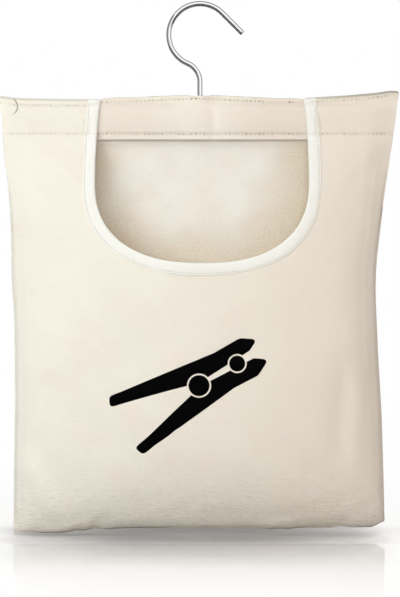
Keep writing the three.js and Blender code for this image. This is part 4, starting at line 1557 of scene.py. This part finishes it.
class PEGBAG_OT_binding(bpy.types.Operator):
    """Folds the cotton tape over the edge of the mouth"""

    bl_idname = "pegbag.binding"
    bl_label = "Mouth binding"

    def execute(self, context):
        run, x, drop, out = mouth_path()
        front_leaf = np.array([10, 9.7, 9.2, 8.7, 8.4, 8.1, 7.5, 6.4, 5.2, 4.0, 2.8, 1.9]) * MM
        turn = np.linspace(0, math.pi, 7)
        rear_leaf = front_leaf[::-1][1:]
        half_tape = TAPE / 2
        rows = []
        wander = 0.22 * MM * np.sin(run / (13 * MM)) + 0.12 * MM * np.sin(run / (5.1 * MM) + 1)
        ripple = np.sin(run / (1.7 * MM) + 1.5 * np.sin(run / (19 * MM)))
        rear = self.rear_lift(drop)
        for reach in front_leaf:
            edge = reach / TAPE_WIDTH
            puff = 0.3 * MM * np.sin(math.pi * min(edge, 0.84) / 0.84)
            puff = puff - 0.16 * MM * bump(reach, 8.4 * MM, 0.6 * MM)
            lift = half_tape + 0.06 * MM + puff + 0.05 * MM * ripple * edge
            rows.append(self.band(x, drop, out, reach + wander * edge, lift))
        for angle in turn[1:-1]:
            lift = blend(half_tape + 0.12 * MM, rear, (1 - math.cos(angle)) / 2)
            reach = 1.1 * MM * (1 - math.sin(angle)) + 0.25 * MM
            rows.append(self.band(x, drop, out, np.full(len(x), reach), lift))
        for reach in rear_leaf:
            rows.append(self.band(x, drop, out, reach - wander * reach / TAPE_WIDTH, rear))
        grid = np.stack(rows, axis=1)
        width = np.concatenate([[0], np.cumsum(np.linalg.norm(np.diff(grid[0], axis=0), axis=1))])
        uvs = np.stack(np.broadcast_arrays(run[:, None], width[None]), -1)
        tape = thicken(grid_object("mouth_tape", grid, uvs), TAPE)
        tape.data.materials.append(tape_material(context.scene.pegbag_trim))
        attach(tape, "bag")
        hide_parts("mouth_binding")
        return {"FINISHED"}

    @staticmethod
    def rear_lift(drop):
        """From the panel's outer face back to the middle of the tape's rear leaf."""
        hem = 1 - smooth(drop, 35.4 * MM, 38 * MM)
        return -(CANVAS + 0.1 * MM + TAPE / 2) - (CANVAS + LAYER_GAP) * hem

    @staticmethod
    def band(x, drop, out, reach, lift):
        return front.seen(x + out[:, 0] * reach, np.maximum(drop + out[:, 1] * reach, 0.2 * MM), lift)


# Stitches


def mouth_reach(x, drop):
    """Distance outwards from the mouth's straight sides."""
    return np.abs(x - MOUTH_OFFSET) - mouth_half(drop)


def front_cover(x, drop):
    """How far the tape lifts a stitch off the front panel."""
    reach = mouth_reach(x, drop)
    edge = smooth(reach, -0.2 * MM, 0.3 * MM)
    edge = edge * (1 - smooth(reach, TAPE_WIDTH - 0.2 * MM, TAPE_WIDTH + 0.5 * MM))
    return (TAPE + 0.2 * MM) * edge


def even_line(line, step):
    """The same line at even steps."""
    run = np.concatenate([[0], np.cumsum(np.linalg.norm(np.diff(line, axis=0), axis=1))])
    even = np.arange(0, run[-1], step)
    return np.stack([np.interp(even, run, line[:, i]) for i in range(line.shape[1])], -1)


class Stitches:
    """Rows of lockstitch: single stitches that dip into the cloth at each needle hole."""

    def __init__(self, settings, pitch, seed):
        self.radius = settings.thread_diameter / 2
        self.pitch = pitch
        self.random = np.random.default_rng(seed)
        self.whole = Gather()

    def row(self, line, seen, up):
        """line holds x and drop; seen gives the points of the sewn face at a lift."""
        step = self.pitch / 20
        line = even_line(np.asarray(line, float), step)
        for first in range(0, len(line) - 20, 20):
            gap = 2
            x, drop = line[first + gap : first + 20 - gap + 1].T
            share = np.linspace(0, 1, len(x))[::2]
            x, drop = x[::2], drop[::2]
            drift = self.random.normal(0, 0.12 * MM, 2)
            arch = np.sin(share * math.pi) ** 0.6
            tightness = self.random.uniform(0.55, 1.0)
            lift = self.radius * (-0.7 + 1.6 * arch * tightness)
            points = seen(x, drop + blend(drift[0], drift[1], share), lift)
            body = tube(points, self.radius, 6, up=up)
            body[2][:, 1] += len(self.whole.points)
            self.whole.add(body)

    def piece(self, name, nodes, material):
        thread = self.whole.piece(name)
        thread.data.materials.append(material)
        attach(thread, "bag")
        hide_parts(*nodes)
        return thread


def on_front(x, drop, lift):
    return front.seen(x, drop, lift + front_cover(x, drop))


def on_back(x, drop, lift):
    return back.seen(x, drop, lift)


def on_leaf(x, drop, lift):
    return hem_leaf(x, drop, CANVAS + lift)


FRONTWARD = (0, -1, 0)
BACKWARD = (0, 1, 0)


class PEGBAG_OT_stitches(bpy.types.Operator):
    """Sews the hems, the top seam and the binding, stitch by stitch"""

    bl_idname = "pegbag.stitches"
    bl_label = "Stitches"

    def execute(self, context):
        settings = context.scene.pegbag_trim
        pitch = context.scene.pegbag_canvas.stitch_length
        thread = thread_material(settings, pitch)
        for seed, (name, side) in enumerate((("left", -1), ("right", 1))):
            self.top_row(Stitches(settings, pitch, 10 + seed), side).piece(
                "top_stitches_" + name, ["top_seam_thread_" + name], thread
            )
            self.hem_row(Stitches(settings, pitch, 20 + seed), side).piece(
                "hem_stitches_" + name, ["front_hem_thread_" + name], thread
            )
        self.back_rows(Stitches(settings, pitch, 30)).piece("back_hem_stitches", ["back_hem_thread"], thread)
        self.binding_row(Stitches(settings, pitch, 40)).piece("binding_stitches", ["binding_thread"], thread)
        return {"FINISHED"}

    @staticmethod
    def across(pitch, first, last, drop):
        """A row whose needle holes stand at whole stitches from the bag's middle."""
        x = np.linspace(round(first / pitch) * pitch, last, 120)
        return np.stack(np.broadcast_arrays(x, drop(x) if callable(drop) else drop), -1)

    def top_row(self, stitches, side):
        edge = side * (half_width(TOP_STITCH) - 4 * MM)
        inner = MOUTH_OFFSET + side * (mouth_half(TOP_STITCH) + 0.8 * MM)
        stitches.row(self.across(stitches.pitch, inner, edge, top_row_drop), on_front, FRONTWARD)
        leaf = MOUTH_OFFSET + side * (mouth_half(TOP_STITCH) - 0.5 * MM)
        stitches.row(self.across(stitches.pitch, side * 9 * MM, leaf, TOP_STITCH), on_leaf, FRONTWARD)
        stitches.row(self.across(stitches.pitch, side * 9 * MM, edge, top_row_drop), on_back, BACKWARD)
        return stitches

    def hem_row(self, stitches, side):
        edge = side * (half_width(HEM_STITCH) - 4 * MM)
        inner = MOUTH_OFFSET + side * (mouth_half(HEM_STITCH) + 0.8 * MM)
        stitches.row(self.across(stitches.pitch, inner, edge, HEM_STITCH), on_front, FRONTWARD)
        for reach in (6.8 * MM, TAPE_WIDTH + 1.3 * MM):
            drop = np.linspace(17 * MM, HEM_STITCH, 30)
            x = MOUTH_OFFSET + side * (mouth_half(drop) + reach)
            stitches.row(np.stack([x, drop], -1), on_front, FRONTWARD)
        return stitches

    def back_rows(self, stitches):
        half = half_width(HEM_STITCH) - 6 * MM
        stitches.row(self.across(stitches.pitch, -half, half, HEM_STITCH), on_leaf, FRONTWARD)
        stitches.row(self.across(stitches.pitch, -half, half, HEM_STITCH), on_back, BACKWARD)
        return stitches

    def binding_row(self, stitches):
        run, x, drop, out = mouth_path()
        reach = TAPE_WIDTH - TAPE_STITCH
        line = np.stack([x + out[:, 0] * reach, drop + out[:, 1] * reach], -1)[4:-4]
        stitches.row(line, lambda x, drop, lift: front.seen(x, drop, lift + TAPE + 0.02 * MM), FRONTWARD)
        rear = np.stack([x + out[:, 0] * (reach - 0.6 * MM), drop + out[:, 1] * (reach - 0.6 * MM)], -1)[4:-4]

        def behind(x, drop, lift):
            return front.seen(x, drop, PEGBAG_OT_binding.rear_lift(drop) - TAPE / 2 - lift)

        stitches.row(rear, behind, FRONTWARD)
        return stitches


# Seams inside


class PEGBAG_OT_seams(bpy.types.Operator):
    """Makes the overlocked allowances inside the side and bottom seams"""

    bl_idname = "pegbag.seams"
    bl_label = "Seams"

    def execute(self, context):
        canvas = canvas_material("seam_canvas", context.scene.pegbag_canvas, sewn=False)
        thread = thread_material(context.scene.pegbag_trim, context.scene.pegbag_canvas.stitch_length)
        top, bottom = HEM_DEPTH + 4 * MM, BAG_HEIGHT - 16 * MM
        drop = np.linspace(top, bottom, 150)
        for name, side in (("left", -1), ("right", 1)):
            edge = back.place(np.full(150, side), length_at(drop))
            self.allowance("side_allowance_" + name, edge, (-side, 0, 0), "side_seam_" + name, canvas, thread)
        x = np.linspace(-BOTTOM_HALF + 14 * MM, BOTTOM_HALF - 14 * MM, 150)
        edge = back.place(x / BOTTOM_HALF, np.full(150, CLOTH_LENGTH))
        self.allowance("bottom_allowance", edge, (0, 0, 1), "bottom_seam", canvas, thread)
        return {"FINISHED"}

    def allowance(self, name, edge, inward, node, canvas, thread):
        """Two layers that lie together, with the overlock's loops round their raw edge."""
        inward = np.array(inward, float)
        run = np.concatenate([[0], np.cumsum(np.linalg.norm(np.diff(edge, axis=0), axis=1))])
        lean = 1.6 * MM * np.sin(run / (23 * MM)) + 0.8 * MM * np.sin(run / (7.7 * MM) + 1)
        reaches = np.array([2.4, 4, 6, 8, 10, 11, 11.8]) * MM
        layers = []
        for sign in (-1, 1):
            rows = []
            for reach in reaches:
                row = edge + inward * reach
                row[:, 1] = sign * 0.45 * MM + lean * (reach / reaches[-1]) ** 2
                rows.append(row)
            layers.append(rows)
        grid = np.stack([*layers[0], *layers[1][::-1]], axis=1)
        width = np.concatenate([reaches, 2 * reaches[-1] - reaches[::-1] + MM])
        uvs = np.stack(np.broadcast_arrays(width[None], run[:, None]), -1)
        strip = thicken(grid_object(name, grid, uvs), CANVAS * 0.85)
        strip.data.materials.append(canvas)
        loops = self.overlock(name + "_overlock", edge, inward, run, lean, thread)
        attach(strip, "bag")
        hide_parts(node)
        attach(loops, "bag")

    def overlock(self, name, edge, inward, run, lean, thread):
        turns = int(run[-1] / (2.4 * MM))
        phase = np.linspace(0, turns, turns * 10 + 1)
        place = phase / turns * run[-1]
        middle = np.stack([np.interp(place, run, edge[:, i]) for i in range(3)], -1)
        angle = phase * 2 * math.pi
        reach = 9.6 * MM + 2.7 * MM * np.cos(angle)
        side = np.interp(place, run, lean) * (reach / (11.8 * MM)) ** 2
        points = middle + inward * reach[:, None]
        points[:, 1] = side + 1.25 * MM * np.sin(angle)
        whole = Gather()
        whole.add(tube(points, 0.22 * MM, 5, up=(0.31, 0.2, 0.93)))
        loops = whole.piece(name)
        loops.data.materials.append(thread)
        return loops


# Print


def turned(points, angle, centre):
    points = np.asarray(points, float)
    cosine, sine = math.cos(angle), math.sin(angle)
    return points @ np.array([[cosine, sine], [-sine, cosine]]) + centre


def rounded(corners, radius, steps=7):
    """A closed outline with its corners rounded."""
    corners = np.asarray(corners, float)
    outline = []
    for i, corner in enumerate(corners):
        before, after = corners[i - 1], corners[(i + 1) % len(corners)]
        to_before = (before - corner) / np.linalg.norm(before - corner)
        to_after = (after - corner) / np.linalg.norm(after - corner)
        size = radius[i] if hasattr(radius, "__len__") else radius
        half = math.acos(float(np.clip(to_before @ to_after, -1, 1))) / 2
        spare = 0.45 * min(np.linalg.norm(before - corner), np.linalg.norm(after - corner))
        cut = min(size / math.tan(half), spare)
        start, end = corner + to_before * cut, corner + to_after * cut
        for share in np.linspace(0, 1, steps):
            outline.append((1 - share) ** 2 * start + 2 * share * (1 - share) * corner + share**2 * end)
    return np.array(outline)


def circle(centre, radius, count=40):
    angles = 2 * math.pi * np.arange(count) / count
    return np.stack([centre[0] + radius * np.cos(angles), centre[1] + radius * np.sin(angles)], -1)


def inside(points, outline):
    """Which points lie inside a closed outline."""
    x, y = points[:, 0], points[:, 1]
    result = np.zeros(len(points), bool)
    for (ax, ay), (bx, by) in zip(outline, np.roll(outline, -1, axis=0)):
        crosses = (ay > y) != (by > y)
        with np.errstate(divide="ignore", invalid="ignore"):
            at = ax + (y - ay) * (bx - ax) / (by - ay)
        result ^= crosses & (x < at)
    return result


class PEGBAG_OT_print(bpy.types.Operator):
    """Prints the figure of a clothes peg on the front"""

    bl_idname = "pegbag.print"
    bl_label = "Print"

    def execute(self, context):
        place = np.array([-6 * MM, 241 * MM])
        tilt = -math.radians(30)
        upper, lower, coil, coil_radius, pin, pin_radius = self.figure()
        shapes = [upper, lower, circle(coil, coil_radius), circle(pin, pin_radius)]
        whole = Gather()
        groove = 1.3 * MM

        def wanted(points):
            in_upper, in_lower = inside(points, upper), inside(points, lower)
            ring = np.hypot(*(points - coil).T)
            small = np.hypot(*(points - pin).T)
            jaws = (in_upper | in_lower) & (ring > coil_radius + groove) & (small > pin_radius + groove)
            return jaws | (ring < coil_radius) | (small < pin_radius)

        outlines = [*shapes, circle(coil, coil_radius + groove), circle(pin, pin_radius + groove)]
        points, triangles = self.fill(outlines, wanted)
        points = turned(points, tilt, place)
        seen = front.seen(points[:, 0], points[:, 1], 0.07 * MM)
        uvs = np.stack([points[:, 0], length_at(points[:, 1])], -1)
        whole.add((seen, triangles, uvs))
        ink = thicken(whole.piece("peg_print"), 0.08 * MM)
        ink.data.materials.append(ink_material(context.scene.pegbag_canvas))
        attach(ink, "bag")
        return {"FINISHED"}

    @staticmethod
    def figure():
        """Two wooden halves that cross at a coil, in millimetres along and across the peg."""
        upper = rounded(
            np.array([(-66, -21), (-62, -29), (30, -17), (54, -17), (66, -9), (56, -4), (8, -2)]) * MM,
            np.array([3, 4, 10, 9, 4, 4, 20]) * MM,
        )
        lower = rounded(
            np.array([(-62, 26), (-65, 18), (8, 1), (56, 3), (66, 10), (52, 17), (30, 16)]) * MM,
            np.array([4, 3, 20, 4, 4, 9, 10]) * MM,
        )
        return upper, lower, np.array([6, 0]) * MM, 8.6 * MM, np.array([42, 0]) * MM, 6.5 * MM

    @staticmethod
    def fill(outlines, wanted):
        """Triangles inside the wanted area, with inner points close enough to follow the cloth."""
        spacing = 2.6 * MM
        points, edges = [], []
        for outline in outlines:
            start = len(points)
            points.extend(outline)
            edges.extend((start + i, start + (i + 1) % len(outline)) for i in range(len(outline)))
        everything = np.concatenate(outlines)
        low, high = everything.min(axis=0), everything.max(axis=0)
        grid_axes = [np.arange(first, last, spacing) for first, last in zip(low, high)]
        grid = np.stack(np.meshgrid(*grid_axes), -1).reshape(-1, 2)
        clear = np.min(np.linalg.norm(grid[:, None] - everything[None], axis=2), axis=1) > spacing * 0.4
        points.extend(grid[clear])
        result = delaunay_2d_cdt([Vector(map(float, point)) for point in points], edges, [], 0, 1e-7)
        flat = np.array([tuple(point) for point in result[0]])
        triangles = [face for face in result[2] if len(face) == 3]
        centres = np.array([flat[list(face)].mean(axis=0) for face in triangles])
        kept = [face for face, keep in zip(triangles, wanted(centres)) if keep]
        used = np.unique(np.array(kept))
        renumber = {int(old): new for new, old in enumerate(used)}
        return flat[used], [tuple(renumber[int(i)] for i in face) for face in kept]


# Panel in the sidebar

SETTINGS = {
    "pegbag_stage": StageSettings,
    "pegbag_canvas": CanvasSettings,
    "pegbag_trim": TrimSettings,
    "pegbag_hook": HookSettings,
}

OPERATORS = (
    PEGBAG_OT_stage,
    PEGBAG_OT_hook,
    PEGBAG_OT_bar,
    PEGBAG_OT_cloth,
    PEGBAG_OT_binding,
    PEGBAG_OT_stitches,
    PEGBAG_OT_seams,
    PEGBAG_OT_print,
)


class PEGBAG_PT_panel(bpy.types.Panel):
    """Lists the bag's steps and sizes"""

    bl_idname = "PEGBAG_PT_panel"
    bl_label = "Peg Bag"
    bl_space_type = "VIEW_3D"
    bl_region_type = "UI"
    bl_category = "Peg Bag"

    def draw(self, context):
        for operator in OPERATORS:
            self.layout.operator(operator.bl_idname)
        for name, group in SETTINGS.items():
            box = self.layout.box()
            for field in group.__annotations__:
                box.prop(getattr(context.scene, name), field)


CLASSES = (*SETTINGS.values(), *OPERATORS, PEGBAG_PT_panel)


def register():
    for item in CLASSES:
        bpy.utils.register_class(item)
    for name, group in SETTINGS.items():
        setattr(bpy.types.Scene, name, bpy.props.PointerProperty(type=group))


def unregister():
    for name in SETTINGS:
        delattr(bpy.types.Scene, name)
    for item in reversed(CLASSES):
        bpy.utils.unregister_class(item)


def main():
    register()
    for operator in OPERATORS:
        group, name = operator.bl_idname.split(".")
        getattr(getattr(bpy.ops, group), name)()


if __name__ == "__main__":
    main()
